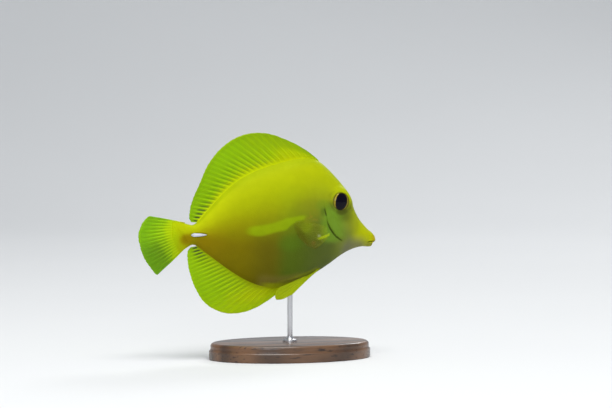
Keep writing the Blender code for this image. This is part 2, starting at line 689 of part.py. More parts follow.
def add_stand(stand):
    """A flat oval base, with one rod up to the belly between the pelvic fins."""
    base = bmesh.new()
    bmesh.ops.create_cone(base, cap_ends=True, segments=44, radius1=0.5, radius2=0.5, depth=1)
    bmesh.ops.scale(base, vec=metres(BASE_LENGTH, BASE_WIDTH, BASE_HEIGHT), verts=base.verts)
    bmesh.ops.translate(base, vec=metres(0, 0, BASE_HEIGHT / 2), verts=base.verts)
    plinth = add_node("stand_base", base, material("stand_wood", (0.09, 0.045, 0.022), 0.35), stand)
    edge = plinth.modifiers.new("rounded_edge", "BEVEL")
    edge.width = BASE_EDGE * MM
    edge.segments = 2
    rod_foot = BASE_HEIGHT - ROD_IN_BASE
    seat = rod_mesh(ROD_RADIUS + GAP, rod_foot - GAP, FAR)
    boolean(plinth, add_cutter("rod_seat", seat, stand), "DIFFERENCE")
    rod_top = AXIS_HEIGHT + smooth(BELLY, ROD_X) + ROD_IN_FISH
    add_node("stand_rod", rod_mesh(ROD_RADIUS, rod_foot, rod_top), polished_steel(), stand)
    low, high = BASE_HEIGHT + GAP, BASE_HEIGHT + GAP + COLLAR_HEIGHT
    inner, shoulder = ROD_RADIUS + GAP, (low + high) / 2
    ring = [(inner, low), (COLLAR_RADIUS, low), (COLLAR_RADIUS, shoulder)]
    ring += [(inner + COLLAR_RIM, high), (inner, high)]
    add_node("stand_collar", turned_mesh(ring + ring[:1], 22), polished_steel(), stand)


def clear_scene():
    for old in list(bpy.data.objects):
        bpy.data.objects.remove(old)


def build_tang():
    clear_scene()
    fish = add_object("fish", None, None, Matrix.Translation(metres(0, 0, AXIS_HEIGHT)))
    add_head(fish)
    add_jaws(fish)
    add_trunk(fish)
    add_tail_stalk(fish)
    add_fins(fish)
    add_stand(add_object("stand", None, None, Matrix.Translation(metres(ROD_X, 0, 0))))


build_tang()
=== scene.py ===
import math

import bmesh
import bpy
import numpy as np
from mathutils import Matrix, Vector


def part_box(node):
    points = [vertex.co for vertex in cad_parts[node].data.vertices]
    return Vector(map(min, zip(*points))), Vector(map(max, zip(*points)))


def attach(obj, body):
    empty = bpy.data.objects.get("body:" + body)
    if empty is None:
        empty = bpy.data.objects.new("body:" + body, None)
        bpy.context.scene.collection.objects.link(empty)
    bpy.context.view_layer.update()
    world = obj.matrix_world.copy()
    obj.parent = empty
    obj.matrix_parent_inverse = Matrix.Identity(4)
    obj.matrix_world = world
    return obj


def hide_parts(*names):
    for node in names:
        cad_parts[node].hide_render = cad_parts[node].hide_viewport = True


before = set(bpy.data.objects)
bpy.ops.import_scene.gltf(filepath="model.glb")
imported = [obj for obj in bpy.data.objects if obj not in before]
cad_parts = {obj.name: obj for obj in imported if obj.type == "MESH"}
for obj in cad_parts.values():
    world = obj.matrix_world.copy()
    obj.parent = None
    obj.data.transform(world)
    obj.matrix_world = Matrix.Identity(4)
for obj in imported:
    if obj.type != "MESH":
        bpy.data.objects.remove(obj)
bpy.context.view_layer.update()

# The skin of the whole fish in one piece, from the lips back to the root of the tail. The real one is
# minute rough scales over firm flesh. Here it is cast resin under thin coats of lemon, olive and green
# glaze, with the fins set into it. Its tables give the side view and the half width, in millimetres.
MM = 0.001
AXIS_HEIGHT = 59.5
BACK = [
    (-43, 7.7), (-41, 7.3), (-39.2, 6.9), (-37.2, 6.5), (-35.2, 5.9), (-33.2, 5.5), (-31.8, 5.9),
    (-30.2, 7.1), (-25, 12.5), (-18, 19.6), (-10.5, 25.7), (-1, 30.4), (9, 33.5), (19, 35.7), (26, 36.0),
    (31.2, 34.6), (35.5, 31.1), (39.8, 26.7), (43.3, 22.7), (46.1, 18.3), (49.0, 11.0), (51.2, 7.1),
    (54.2, 3.5), (56.2, 1.5), (57.5, 0.55), (58.7, -0.6), (59.5, -1.8), (60, -3.3),
]
BELLY = [
    (-43, -10.8), (-41, -9.2), (-39.2, -7.7), (-37.2, -6.2), (-35.2, -4.9), (-33.2, -4.0), (-31.4, -4.3),
    (-29, -6.0), (-25, -8.8), (-18.7, -13.4), (-12.4, -17.7), (-6.1, -21.3), (1, -24.0), (8, -25.0),
    (15, -24.6), (21.4, -22.8), (29.5, -18.5), (35.5, -14.9), (40.6, -11.4), (45, -8.9), (49.2, -7.3),
    (53, -6.6), (57.2, -6.7), (58.4, -6.1), (59.4, -4.9), (60, -3.3),
]
HALF_WIDTH = [
    (-43, 0.3), (-41, 0.8), (-39.2, 1.1), (-37.2, 1.6), (-35, 2.1), (-29, 3.2), (-20, 5.0), (-10, 7.0),
    (0, 8.2), (11, 8.8), (22, 8.7), (30, 7.9), (36, 6.9), (41, 5.9), (46, 4.8), (50, 3.9), (54, 3.15),
    (56.2, 2.75), (57.8, 2.75), (59.0, 2.1), (59.7, 1.1), (60, 0.0),
]
FALL_OFF = [
    (-43, 0.6), (-39.2, 0.8), (-30, 1.0), (0, 1.1), (20, 1.1), (33, 0.95), (44, 0.8), (52, 0.85), (60, 0.9),
]
SKIN_AROUND = 208
SKIN_RUNS = [(-43, -26, 62), (-26, 26, 100), (26, 47, 120), (47, 55, 38), (55, 60, 52)]
# The flesh thins out over the roots of the tail's rays, by the distance from the hub that they spread from
TAIL_HUB_X, TAIL_HUB_Z = -25.45, 4.6
TAIL_FLESH = [(11.5, 2.2), (13.0, 1.25), (14.5, 0.72), (16.0, 0.40), (17.5, 0.20), (19.0, 0.05)]
# The edge of the gill cover runs upward, so its rows are z and x. The other lines' rows are x and z
GILL_LINE = [
    (-12, 45.5), (-6, 44.0), (-3.4, 41.3), (-1, 37.8), (2.6, 34.6), (6.2, 32.7), (9.2, 32.2), (12.5, 31.4),
    (21, 30.4), (32, 29.0), (42, 27.5),
]
CHEEK_LINE = [(35.3, 13.6), (36.2, 9.6), (37.2, 6.2), (39.4, 2.8), (42.6, -0.8), (45.6, -2.6)]
SIDE_LINE = [(-34, 1.6), (-28, 4.0), (-20, 10.2), (-8, 18.4), (6, 23.4), (18, 24), (26, 20.6), (31, 15.2)]
BAND_LINE = [
    (-10, 2.3), (-7, 2.4), (-1, 2.6), (4, 3.6), (8.1, 4.6), (11.2, 5.4), (14.2, 7.0), (20.8, 8.6), (24, 9.4),
]
BAND_HALF = [
    (-10, 1.6), (-7, 2.3), (-1, 2.7), (4, 2.5), (8, 2.6), (11.2, 2.8), (13.6, 1.8), (20.8, 1.3), (24, 1.0),
]
MOUTH_LINE = [(54.0, -4.9), (55.5, -4.45), (57.5, -4.1), (59.0, -4.15), (60.2, -4.4)]
SIDES = ((-1, "right"), (1, "left"))
EYE_X, EYE_Z, EYE_RADIUS = 40.3, 15.6, 4.2
# The eye looks more to the side than the cheek: the share of the cheek's slope that it takes up. The skin
# comes to its rim from this far outside, and a little over it
EYE_SLOPE, ORBIT_LIFT, ORBIT_REACH = 0.2, 0.25, 4.0
NOSTRILS = [(45.6, 12.3, 0.42), (46.5, 11.2, 0.32)]
BLADE_X, BLADE_Z = -30.6, 0.8
SHEATH_REACH = (4.1, 1.12)
PAD_MIDDLE, PAD_REACH = (32.2, 1.4), (2.3, 3.7)
# Depths and heights of the fine relief, and the distance from one pore of the side line to the next
GILL_DEPTH, SOCKET_DEPTH, NOSTRIL_DEPTH, MOUTH_DEPTH, SHEATH_DEPTH = 0.6, 1.8, 0.5, 0.75, 0.42
GILL_EDGE, GILL_SINK, LIP_SWELL, PAD_LIFT, FLUTE, PORE_PITCH = 0.36, 0.28, 0.18, 0.36, 0.07, 1.05
# How far the crest and the keel rise to meet the fins, how far the lower lip stops short of the upper one,
# and the height of the middle of the flesh where the tail fin begins
FOOT_RISE, LIP_STOP, TAIL_END_Z = 0.4, 1.0, -1.5
# Where each form starts, is full, fades and ends: the two openings of the gill slit by height, and the side
# line and the flutes at the foot of both long fins along the fish
GILL_OPEN, GILL_TOP = (-3.9, -2.7, 4.2, 7.6), (8.4, 9.6, 11.8, 13.0)
SIDE_SPAN, DORSAL_SPAN, ANAL_SPAN = (-33.5, -30, 29.5, 31.5), (-31, -29, 27, 30), (-31, -29, 10, 12.5)
# Rays of the back fin and the anal fin: how many, the x of the first and the last root, and how much closer
# together they are behind
DORSAL_ROOTS, ANAL_ROOTS = (30, 31.0, -30.8, 0.33), (24, 13.2, -30.8, 0.22)


def curve(table, x, column=1):
    """Values at x on a smooth curve through the rows of a table."""
    rows = np.array(table, float)
    at, value = rows[:, 0], rows[:, column]
    wide_at, wide_value = np.pad(at, 1, mode="edge"), np.pad(value, 1, mode="edge")
    slope = (wide_value[2:] - wide_value[:-2]) / (wide_at[2:] - wide_at[:-2])
    x = np.clip(x, at[0], at[-1])
    i = np.clip(np.searchsorted(at, x, side="right") - 1, 0, len(at) - 2)
    run = at[i + 1] - at[i]
    t = (x - at[i]) / run
    start = (2 * t**3 - 3 * t**2 + 1) * value[i] + (t**3 - 2 * t**2 + t) * run * slope[i]
    end = (3 * t**2 - 2 * t**3) * value[i + 1] + (t**3 - t**2) * run * slope[i + 1]
    return start + end


def rise(low, high, x):
    """0 below low, 1 above high and an easy slope between. low may be the larger."""
    t = np.clip((x - low) / (high - low), 0, 1)
    return t * t * (3 - 2 * t)


def window(x, start, full, fading, end):
    """0 before start and past end, 1 from full to fading, and easy slopes between."""
    return rise(start, full, x) * rise(end, fading, x)


def hump(distance, reach):
    """1 at no distance, falling smoothly to 0 at the reach."""
    t = np.minimum(np.abs(distance) / reach, 1.0)
    return (1 - t * t) ** 2


def from_line(rows, x, z, steps=160):
    """Distance to the line through rows of x and z, negative under it, and the share of the way along."""
    along = np.linspace(rows[0][0], rows[-1][0], steps)
    near, share = np.full(x.shape, np.inf), np.zeros(x.shape)
    for k, (line_x, line_z) in enumerate(zip(along, curve(rows, along))):
        far = np.hypot(x - line_x, z - line_z)
        closer = far < near
        near[closer], share[closer] = far[closer], k / (steps - 1)
    return np.where(z < curve(rows, x), -near, near), share


def from_middle(x, z, middle, reach=(1.0, 1.0)):
    """Distance from the middle of an oval in the side view, as a share of its reach forward and up."""
    return np.hypot((x - middle[0]) / reach[0], (z - middle[1]) / reach[1])


def flank(x, z):
    """Half width of the flesh, before the fine relief."""
    top, bottom = curve(BACK, x), curve(BELLY, x)
    up = np.clip((z - (top + bottom) / 2) / ((top - bottom) / 2), -1, 1)
    return curve(HALF_WIDTH, x) * np.sqrt(1 - up * up) ** curve(FALL_OFF, x)


def flank_slope(x, z):
    """How fast the half width grows forward and upward."""
    step = 1.0
    return (
        float(flank(x + step, z) - flank(x - step, z)) / (2 * step),
        float(flank(x, z + step) - flank(x, z - step)) / (2 * step),
    )


def eye_level(x, z):
    """Half width of the head where the plane of the eye's rim passes."""
    across, upward = flank_slope(EYE_X, EYE_Z)
    return float(flank(EYE_X, EYE_Z)) + EYE_SLOPE * (across * (x - EYE_X) + upward * (z - EYE_Z))


def place_in_row(points):
    return (np.asarray(points, float) + (0, 0, AXIS_HEIGHT)) * MM


def ray_number(x, rays, first, last, crowding):
    """Which ray of a fin along the midline roots at x, counted from 0 at the front."""
    share = np.clip((x - first) / (last - first), 0, 1)
    u = (1 + crowding - np.sqrt((1 + crowding) ** 2 - 4 * crowding * share)) / (2 * crowding)
    return u * (rays - 1)


def skin_relief(x, z, up):
    """How far the skin stands out of the plain flesh at each point, and how much painted shade it takes in
    the creases.
    """
    # Painted shade goes darkest in the gill slit, nostrils and mouth, and lighter in folds, pores and rims
    lift, crease_shade = np.zeros(x.shape), np.zeros(x.shape)

    # The gill slit is open below and again for a short way at its top
    gill, _ = from_line(GILL_LINE, z, x)
    open_part = window(z, *GILL_OPEN) + 0.8 * window(z, *GILL_TOP)
    soft_part = rise(-4.4, -2.4, z) * hump(z - 6, 14)
    lift += GILL_EDGE * rise(-0.05, 0.34, gill) * hump(gill - 0.3, 4.2) * soft_part
    lift -= GILL_SINK * rise(0.1, -0.25, gill) * hump(gill, 4.5) * soft_part
    cleft = hump(gill + 0.14, 0.34 + 0.16 * hump(z - 0.5, 4.5)) * open_part
    lift -= GILL_DEPTH * cleft
    crease_shade += 1.2 * cleft + 0.25 * hump(gill + 0.45, 1.1) * open_part

    cheek, along = from_line(CHEEK_LINE, x, z)
    cheek_part = window(along, 0.0, 0.14, 0.75, 1.0)
    shaded_fold = hump(cheek, 0.5) * cheek_part
    lift += 0.13 * hump(cheek - 0.9, 1.8) * cheek_part - 0.10 * shaded_fold
    crease_shade += 0.10 * shaded_fold

    from_rim = from_middle(x, z, (EYE_X, EYE_Z)) - EYE_RADIUS
    lift += (eye_level(x, z) + ORBIT_LIFT - flank(x, z)) * hump(np.maximum(from_rim, 0), ORBIT_REACH)
    lift -= SOCKET_DEPTH * rise(0.15, -0.7, from_rim) + 0.10 * hump(from_rim - 1.5, 0.7)
    crease_shade += 0.5 * hump(from_rim, 0.4) + 0.08 * hump(from_rim - 1.5, 0.6)

    for nostril_x, nostril_z, radius in NOSTRILS:
        from_nostril = from_middle(x, z, (nostril_x, nostril_z))
        lift += 0.11 * hump(from_nostril - radius - 0.12, 0.34)
        lift -= NOSTRIL_DEPTH * hump(from_nostril, radius + 0.05)
        crease_shade += 0.9 * hump(from_nostril, radius)

    mouth_part = rise(54.6, 55.8, x)
    from_mouth = z - curve(MOUTH_LINE, x)
    slit = hump(from_mouth, 0.24) * mouth_part
    lift += LIP_SWELL * (hump(from_mouth - 0.62, 0.6) + hump(from_mouth + 0.62, 0.55)) * mouth_part
    lift -= MOUTH_DEPTH * slit
    lip_fold = hump(x - 56.1 + 0.10 * (z + 2.5) ** 2, 0.7) * rise(-0.9, -1.7, z)
    lift -= 0.10 * lip_fold
    crease_shade += slit + 0.10 * lip_fold

    side, _ = from_line(SIDE_LINE, x, z)
    side_part = window(x, *SIDE_SPAN)
    pores = 0.5 + 0.5 * np.cos(2 * np.pi * x / PORE_PITCH)
    lift += (0.045 * hump(side, 0.5) - 0.07 * pores * hump(side, 0.22)) * side_part
    crease_shade += 0.10 * pores * hump(side, 0.26) * side_part

    from_blade = from_middle(x, z, (BLADE_X, BLADE_Z), SHEATH_REACH)
    lift += 0.12 * hump(from_blade - 1.2, 0.5) - SHEATH_DEPTH * rise(1.04, 0.8, from_blade)
    crease_shade += 0.22 * hump(from_blade - 0.97, 0.12)

    lift += PAD_LIFT * hump(from_middle(x, z, PAD_MIDDLE, PAD_REACH), 1.0)

    above = np.cos(2 * np.pi * ray_number(x, *DORSAL_ROOTS))
    below = np.cos(2 * np.pi * ray_number(x, *ANAL_ROOTS))
    lift += FLUTE * above * hump(up - 0.97, 0.10) * window(x, *DORSAL_SPAN)
    lift += FLUTE * below * hump(up + 0.97, 0.10) * window(x, *ANAL_SPAN)
    return lift, np.clip(crease_shade, 0, 1)


# Ovals of the airbrush: the x and z of the middle, and how far each reaches forward and up
OVALS = {
    # The oval about the eye and behind it is painted shade
    "muzzle": ((47, 6), (7.5, 11)), "temple_shade": ((39.5, 11.5), (13, 8)), "shoulder": ((23, 13), (15, 8)),
    "eye_shade": ((40.6, 10.9), (5.7, 3.8)), "snout_shade": ((42.8, 7.8), (8.5, 5)),
    "behind_eye": ((30.5, 13.8), (7, 5.5)), "gill_shade": ((30.3, 10.9), (2.5, 4)),
    # The oval under the pectoral fin's root is painted shade
    "armpit_shade": ((27.2, -3.5), (5, 2.4)), "under_fin": ((21.6, 3.8), (5, 5.5)),
    "brown": ((25.4, -3.9), (1.9, 2)), "stalk": ((-36.3, -1.2), (5.2, 4.8)),
    # The pale spot at the pectoral fin's root is a painted highlight
    "moss": ((13.5, -3.8), (11, 7)), "highlight_spot": ((28.3, -0.5), (1.5, 1.2)),
    "freckled": ((26, 8.5), (9, 6)),
}
# Strokes of the airbrush: the line, the half width, and the x where each starts, is full, fades and ends.
# They are the painted shadow of the pectoral fin's edge on the flank, the yellow streak under the fin, which
# is partly painted highlight, and the edge over the pelvic fins
STROKES = {
    # A painted shadow of the pectoral fin's trailing edge on the flank
    "shaded_fold": ([(15.0, 5.0), (18.5, 1.3), (23.2, -4.2)], 2.0, (14.5, 17.5, 21, 23.6)),
    # The yellow of the pectoral fin's lower root, partly brightened as a painted highlight
    "yellow_highlight_streak": ([(26.0, -2.3), (30.0, -1.4), (34.4, 0.1)], 1.05, (25.5, 29.5, 33.4, 34.8)),
    "pelvic_edge": (
        [(8.0, -23.2), (14, -21.9), (20.3, -19.8), (26, -17.9), (31.0, -15.8)], 1.7, (6, 10, 27, 32),
    ),
}
# Where the other areas start, are full, fade and end along the fish, and the cheek by height too
BAND_SPAN, SHELL_SPAN, KEEL_SPAN = (-12, -3, 18, 24), (-5, 3, 15, 27), (-4, 9, 24, 31)
CHEEK_SPAN, CHEEK_HEIGHT, THROAT_SPAN = (25, 34, 35, 49), (-7.0, -0.5, 8, 18), (37, 46, 49, 60)


def skin_mesh():
    runs = [np.linspace(start, end, steps, endpoint=False) for start, end, steps in SKIN_RUNS]
    stations = np.concatenate(runs)
    turns = np.arange(SKIN_AROUND + 1) / SKIN_AROUND
    x, angle = np.meshgrid(stations, 2 * np.pi * turns[:-1], indexing="ij")
    side, up = np.cos(angle), np.sin(angle)
    top, bottom = curve(BACK, x), curve(BELLY, x)
    z = (top + bottom) / 2 + up * (top - bottom) / 2
    lift, crease_shade = skin_relief(x, z, up)
    y = curve(HALF_WIDTH, x) * np.abs(side) ** curve(FALL_OFF, x) + lift * np.minimum(1, 2.2 * np.abs(side))
    from_hub = from_middle(x, z, (TAIL_HUB_X, TAIL_HUB_Z))
    y = np.where(x < -34, np.minimum(y, curve(TAIL_FLESH, from_hub)), y)
    fin_foot = hump(side, 0.22) * np.sign(up)
    z += FOOT_RISE * fin_foot * np.where(up > 0, rise(31.5, 28, x), rise(13.5, 11, x)) * rise(-31, -28, x)
    under = rise(0.1, -0.7, z - curve(MOUTH_LINE, x)) * rise(57.2, 59.6, x)
    band, _ = from_line(BAND_LINE, x, z)
    # Painted shade in a ring about the eye's socket, fading out above the eye
    socket = hump(from_middle(x, z, (EYE_X, EYE_Z)) - EYE_RADIUS - 1.0, 2.4) * rise(19, 13, z)
    values = {name: hump(from_middle(x, z, *oval), 1.0) for name, oval in OVALS.items()}
    for name, (line, half_width, ends) in STROKES.items():
        values[name] = hump(from_line(line, x, z)[0], half_width) * window(x, *ends)
    # Painted shade under the eye and down the side of the snout
    under_eye_shade = np.maximum(values.pop("eye_shade"), 0.5 * values.pop("snout_shade"))
    values.update({
        "crease_shade": crease_shade, "fish_x": x, "height": (up + 1) / 2,
        "band": rise(1.45, 0.35, np.abs(band) / curve(BAND_HALF, x)) * window(x, *BAND_SPAN),
        "cheek": window(x, *CHEEK_SPAN) * window(z, *CHEEK_HEIGHT),
        "throat": window(x, *THROAT_SPAN) * rise(3.0, -8.5, z - 0.16 * np.minimum(x - 46, 0)),
        "under_eye_shade": np.maximum(under_eye_shade, 0.45 * socket),
        "shell": rise(8.0, 2.5, z - bottom) * window(x, *SHELL_SPAN),
        "keel": rise(3.4, 0.4, z - bottom) * window(x, *KEEL_SPAN),
        "lip": rise(56.0, 58.6, x) * rise(0.8, -2.4, z),
        "chin": rise(53.0, 56.5, x) * rise(-4.2, -5.3, z),
    })
    x = x - LIP_STOP * under
    y = np.sign(side) * np.maximum(y, 0.02) * (np.abs(side) > 1e-9)

    points = place_in_row(np.stack([x, y, z], axis=-1)).reshape(-1, 3)
    nose_x, tail_x = BACK[-1][0], BACK[0][0]
    ends = place_in_row([(nose_x, 0, BACK[-1][1]), (tail_x, 0, TAIL_END_Z)])
    share = (stations - tail_x) / (nose_x - tail_x)
    index = np.arange(len(points)).reshape(x.shape)
    index = np.concatenate([index, index[:, :1]], axis=1)
    faces, unwrap = quads(index).tolist(), [sheet(share, turns)]
    # A fan of triangles closes each end, about the point of the nose and the end of the tail's flesh
    for row, onward, tip, whole in ((-1, 1, len(points), 1.0), (0, -1, len(points) + 1, 0.0)):
        ring, turn = index[row][::onward], turns[::onward]
        faces += np.stack([ring[:-1], ring[1:], np.full(SKIN_AROUND, tip)], axis=1).tolist()
        edge, end = np.full(SKIN_AROUND, share[row]), np.full(SKIN_AROUND, whole)
        fan = np.stack([edge, turn[:-1], edge, turn[1:], end, turn[:-1]], axis=1)
        unwrap.append(fan.reshape(-1, 2))
    mesh = bpy.data.meshes.new("skin")
    mesh.from_pydata(np.concatenate([points, ends]).tolist(), [], faces)
    mesh.shade_smooth()
    lay_out(mesh, np.concatenate(unwrap))
    for name, value in values.items():
        carry(mesh, name, np.append(value.ravel(), [value[-1].mean(), value[0].mean()]))
    return mesh


def quads(index):
    """The faces between the points of a grid."""
    return np.stack([index[:-1, :-1], index[:-1, 1:], index[1:, 1:], index[1:, :-1]], axis=-1).reshape(-1, 4)


def sheet(along, across):
    """Where the corners of a grid's faces lie on the unwrap."""
    grid = np.stack(np.meshgrid(along, across, indexing="ij"), axis=-1).reshape(-1, 2)
    return grid[quads(np.arange(len(grid)).reshape(len(along), -1)).ravel()]


def lay_out(mesh, places):
    """The unwrap that the colours are laid out on, one place for each corner of each face."""
    unwrapped = mesh.uv_layers.new(name="OFBake")
    unwrapped.data.foreach_set("uv", (places * 0.98 + 0.01).ravel().astype(np.float32))


def carry(mesh, name, value):
    """A value that the mesh carries at each point for the finish to read."""
    mesh.attributes.new(name, "FLOAT", "POINT").data.foreach_set("value", value.astype(np.float32))


class Finish:
    """A material and the nodes that feed its shader."""

    def __init__(self, name, **constants):
        self.material = bpy.data.materials.new(name)
        self.material.use_nodes = True
        self.tree = self.material.node_tree
        self.shader = self.tree.nodes["Principled BSDF"]
        self.set(**constants)

    def node(self, kind, inputs=(), **settings):
        """A new node, with each of its named inputs fed by another node or set to a value."""
        made = self.tree.nodes.new("ShaderNode" + kind)
        for name, value in settings.items():
            setattr(made, name, value)
        for name, value in dict(inputs).items():
            self.feed(made.inputs[name], value)
        return made

    def feed(self, socket, value):
        if isinstance(value, bpy.types.NodeSocket):
            self.tree.links.new(value, socket)
        else:
            socket.default_value = value

    def painted(self, attribute):
        """A value that the mesh carries at each point."""
        return self.node("Attribute", attribute_name=attribute).outputs["Fac"]

    def maths(self, operation, a, b):
        return self.node("Math", {0: a, 1: b}, operation=operation).outputs[0]

    def times(self, a, b):
        return self.maths("MULTIPLY", a, b)

    def between(self, value, low, high, to_low=0.0, to_high=1.0):
        """Runs smoothly from one result to the other as a value goes from low to high."""
        ends = {"Value": value, "From Min": low, "From Max": high, "To Min": to_low, "To Max": to_high}
        return self.node("MapRange", ends, interpolation_type="SMOOTHSTEP").outputs["Result"]

    def mix(self, factor, a, b, blend="MIX"):
        made = self.node("Mix", {"Factor": factor}, data_type="RGBA", blend_type=blend)
        colours = [socket for socket in made.inputs if socket.type == "RGBA"]
        for socket, colour in zip(colours, (a, b)):
            self.feed(socket, colour if isinstance(colour, bpy.types.NodeSocket) else (*colour, 1))
        return made.outputs[2]

    def ramp(self, value, stops):
        """A run of colours as a value rises, each stop a value and a colour."""
        low, high = stops[0][0], stops[-1][0]
        along = self.node("MapRange", {"Value": value, "From Min": low, "From Max": high})
        made = self.node("ValToRGB", {"Fac": along.outputs["Result"]})
        made.color_ramp.interpolation = "EASE"
        points = made.color_ramp.elements
        while len(points) < len(stops):
            points.new(0.5)
        for point, (at, colour) in zip(points, stops):
            point.position = (at - low) / (high - low)
            point.color = (*colour, 1)
        return made.outputs["Color"]

    def noise(self, scale, detail=2.0, stretch=None):
        inputs = {"Scale": scale, "Detail": detail, "Vector": self.place(stretch)}
        return self.node("TexNoise", inputs).outputs["Fac"]

    def wander(self, scale, amount):
        """A slow noise about nothing, to make an edge less even."""
        return self.times(self.maths("SUBTRACT", self.noise(scale, 3), 0.5), amount)

    def place(self, stretch=None):
        """Where a point is on the model, in metres."""
        spot = self.node("TexCoord").outputs["Object"]
        if stretch is None:
            return spot
        return self.node("Mapping", {"Scale": stretch, "Vector": spot}).outputs["Vector"]

    def bump(self, height, distance, normal=None):
        inputs = {"Distance": distance, "Height": height}
        if normal is not None:
            inputs["Normal"] = normal
        return self.node("Bump", inputs).outputs["Normal"]

    def set(self, **fed):
        for name, value in fed.items():
            self.feed(self.shader.inputs[name.replace("_", " ")], value)
        return self.material


# The glazes, and where each lies by its x in millimetres: over the back, and over the foot of the flank.
# The darker olive, ochre and moss of the foot are partly the fish's own colour and partly painted shade, as
# if the lower flank were turned away from a light overhead.
LEMON, SUN, NAPE = (0.395, 0.455, 0.002), (0.44, 0.495, 0.002), (0.385, 0.435, 0.002)
GOLD, AMBER, OCHRE = (0.32, 0.36, 0.002), (0.24, 0.175, 0.002), (0.18, 0.142, 0.002)
OLIVE, MOSS, PINE = (0.118, 0.100, 0.004), (0.076, 0.118, 0.008), (0.080, 0.108, 0.02)
LIME_GOLD, LIME_FOOT = (0.46, 0.57, 0.002), (0.31, 0.45, 0.003)
SAGE, STRAW = (0.17, 0.205, 0.03), (0.40, 0.43, 0.003)
BACK_GLAZES = [
    (-43, LIME_GOLD), (-38, SUN), (-24, SUN), (-6, LEMON), (10, LEMON), (25, NAPE), (46, LEMON), (57, STRAW),
]
FOOT_GLAZES_AND_SHADE = [
    (-43, LIME_FOOT), (-38.5, GOLD), (-30, AMBER), (-12, OCHRE), (3, OLIVE), (14, MOSS), (33, PINE),
    (44, SAGE), (51, STRAW), (57, STRAW),
]
# Painted shade for the creases and hollows, and the glaze along the crest of the back
CREASE_SHADE, CREST_GLAZE = (0.030, 0.028, 0.006), (0.33, 0.41, 0.002)
FRECKLE_GLAZE, MOTTLE_GLAZE = (0.30, 0.21, 0.02), (0.55, 0.60, 0.4)
# What is airbrushed over them, in this order: how strong, and the glaze
PATCHES = {
    # Painted shade about the eye and behind it
    "shoulder": (0.35, (0.17, 0.18, 0.01)), "temple_shade": (0.7, (0.08, 0.11, 0.01)),
    "cheek": (0.8, (0.15, 0.285, 0.02)), "muzzle": (0.5, (0.20, 0.24, 0.01)),
    # Painted shade under and around the eye
    "under_eye_shade": (0.85, (0.056, 0.064, 0.009)), "behind_eye": (0.3, (0.10, 0.25, 0.014)),
    "gill_shade": (0.4, (0.05, 0.085, 0.01)), "throat": (0.8, (0.155, 0.155, 0.095)),
    "band": (0.75, (0.26, 0.38, 0.003)), "moss": (0.45, (0.08, 0.165, 0.008)),
    # Painted shade under the pectoral fin's root
    "armpit_shade": (0.42, (0.045, 0.05, 0.01)), "under_fin": (0.35, (0.24, 0.34, 0.005)),
    # A painted shadow of the pectoral fin's trailing edge
    "shaded_fold": (0.4, (0.075, 0.07, 0.004)), "brown": (0.75, (0.15, 0.085, 0.025)),
    # The yellow streak is partly painted highlight, and the pale spot is a painted highlight
    "yellow_highlight_streak": (0.9, (0.42, 0.54, 0.008)), "highlight_spot": (0.65, (0.40, 0.42, 0.32)),
    "stalk": (0.85, (0.25, 0.165, 0.001)), "lip": (0.6, (0.42, 0.30, 0.004)),
    "chin": (0.55, (0.18, 0.17, 0.04)), "shell": (0.6, (0.19, 0.15, 0.03)),
    "keel": (0.85, (0.36, 0.41, 0.003)), "pelvic_edge": (0.4, (0.24, 0.25, 0.01)),
}
# The sheen that the skin and the fins share
SATIN = {"Specular_IOR_Level": 0.16, "Specular_Tint": (1.0, 0.95, 0.12, 1.0)}
# Grain of the skin: how close its marks lie, by the metre, and how high they stand in metres
SCALES, SCALE_HEIGHT = 1500, 0.00003
GRAIN, GRAIN_HEIGHT = 2600, 0.00002


def skin_finish():
    finish = Finish(
        "skin_glaze", Subsurface_Weight=0.10, Subsurface_Radius=(1.0, 0.8, 0.08), Subsurface_Scale=0.0008,
        **SATIN,
    )
    x = finish.painted("fish_x")
    wander = finish.wander(55, 0.10)
    up = finish.maths("ADD", finish.painted("height"), wander)
    # The flank darkens from the back down to its foot, partly its own colour and partly painted shade
    foot, back = finish.ramp(x, FOOT_GLAZES_AND_SHADE), finish.ramp(x, BACK_GLAZES)
    colour = finish.mix(finish.between(up, 0.30, 0.93), foot, back)
    colour = finish.mix(finish.between(up, 0.93, 1.0, 0.0, 0.7), colour, CREST_GLAZE)
    soft_edge = finish.times(wander, 2.5)
    for name, (strength, glaze) in PATCHES.items():
        blurred = finish.maths("ADD", finish.painted(name), soft_edge)
        colour = finish.mix(finish.between(blurred, 0.08, 0.92, 0.0, strength), colour, glaze)
    freckles = finish.times(finish.painted("freckled"), finish.between(finish.noise(620), 0.54, 0.66))
    colour = finish.mix(finish.times(freckles, 0.45), colour, FRECKLE_GLAZE)
    mottle = finish.between(finish.noise(260, 3), 0.35, 0.65, 0.0, 0.10)
    colour = finish.mix(mottle, colour, MOTTLE_GLAZE, "MULTIPLY")
    # Painted shade in the creases and hollows
    colour = finish.mix(finish.between(finish.painted("crease_shade"), 0.0, 1.0, 0.0, 0.95), colour, CREASE_SHADE)
    where = finish.place((0.8, 1.0, 1.0))
    scales = finish.node("TexVoronoi", {"Scale": SCALES, "Vector": where}, feature="DISTANCE_TO_EDGE")
    normal = finish.bump(finish.between(scales.outputs["Distance"], 0.0, 0.22), SCALE_HEIGHT)
    normal = finish.bump(finish.noise(GRAIN), GRAIN_HEIGHT, normal)
    rough = finish.between(finish.noise(180, 3), 0.3, 0.7, 0.42, 0.54)
    return finish.set(Base_Color=colour, Normal=normal, Roughness=rough)


def set_down(name, data):
    """A new object of the scene."""
    made = bpy.data.objects.new(name, data)
    bpy.context.scene.collection.objects.link(made)
    return made


def add_piece(name, mesh, finishes, slot, *nodes, place=None):
    """A piece of the model that takes the place of some solids."""
    piece = set_down(name, mesh)
    for finish in finishes:
        mesh.materials.append(finish)
    if place is not None:
        piece.matrix_world = place
    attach(piece, "root")
    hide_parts(*nodes)


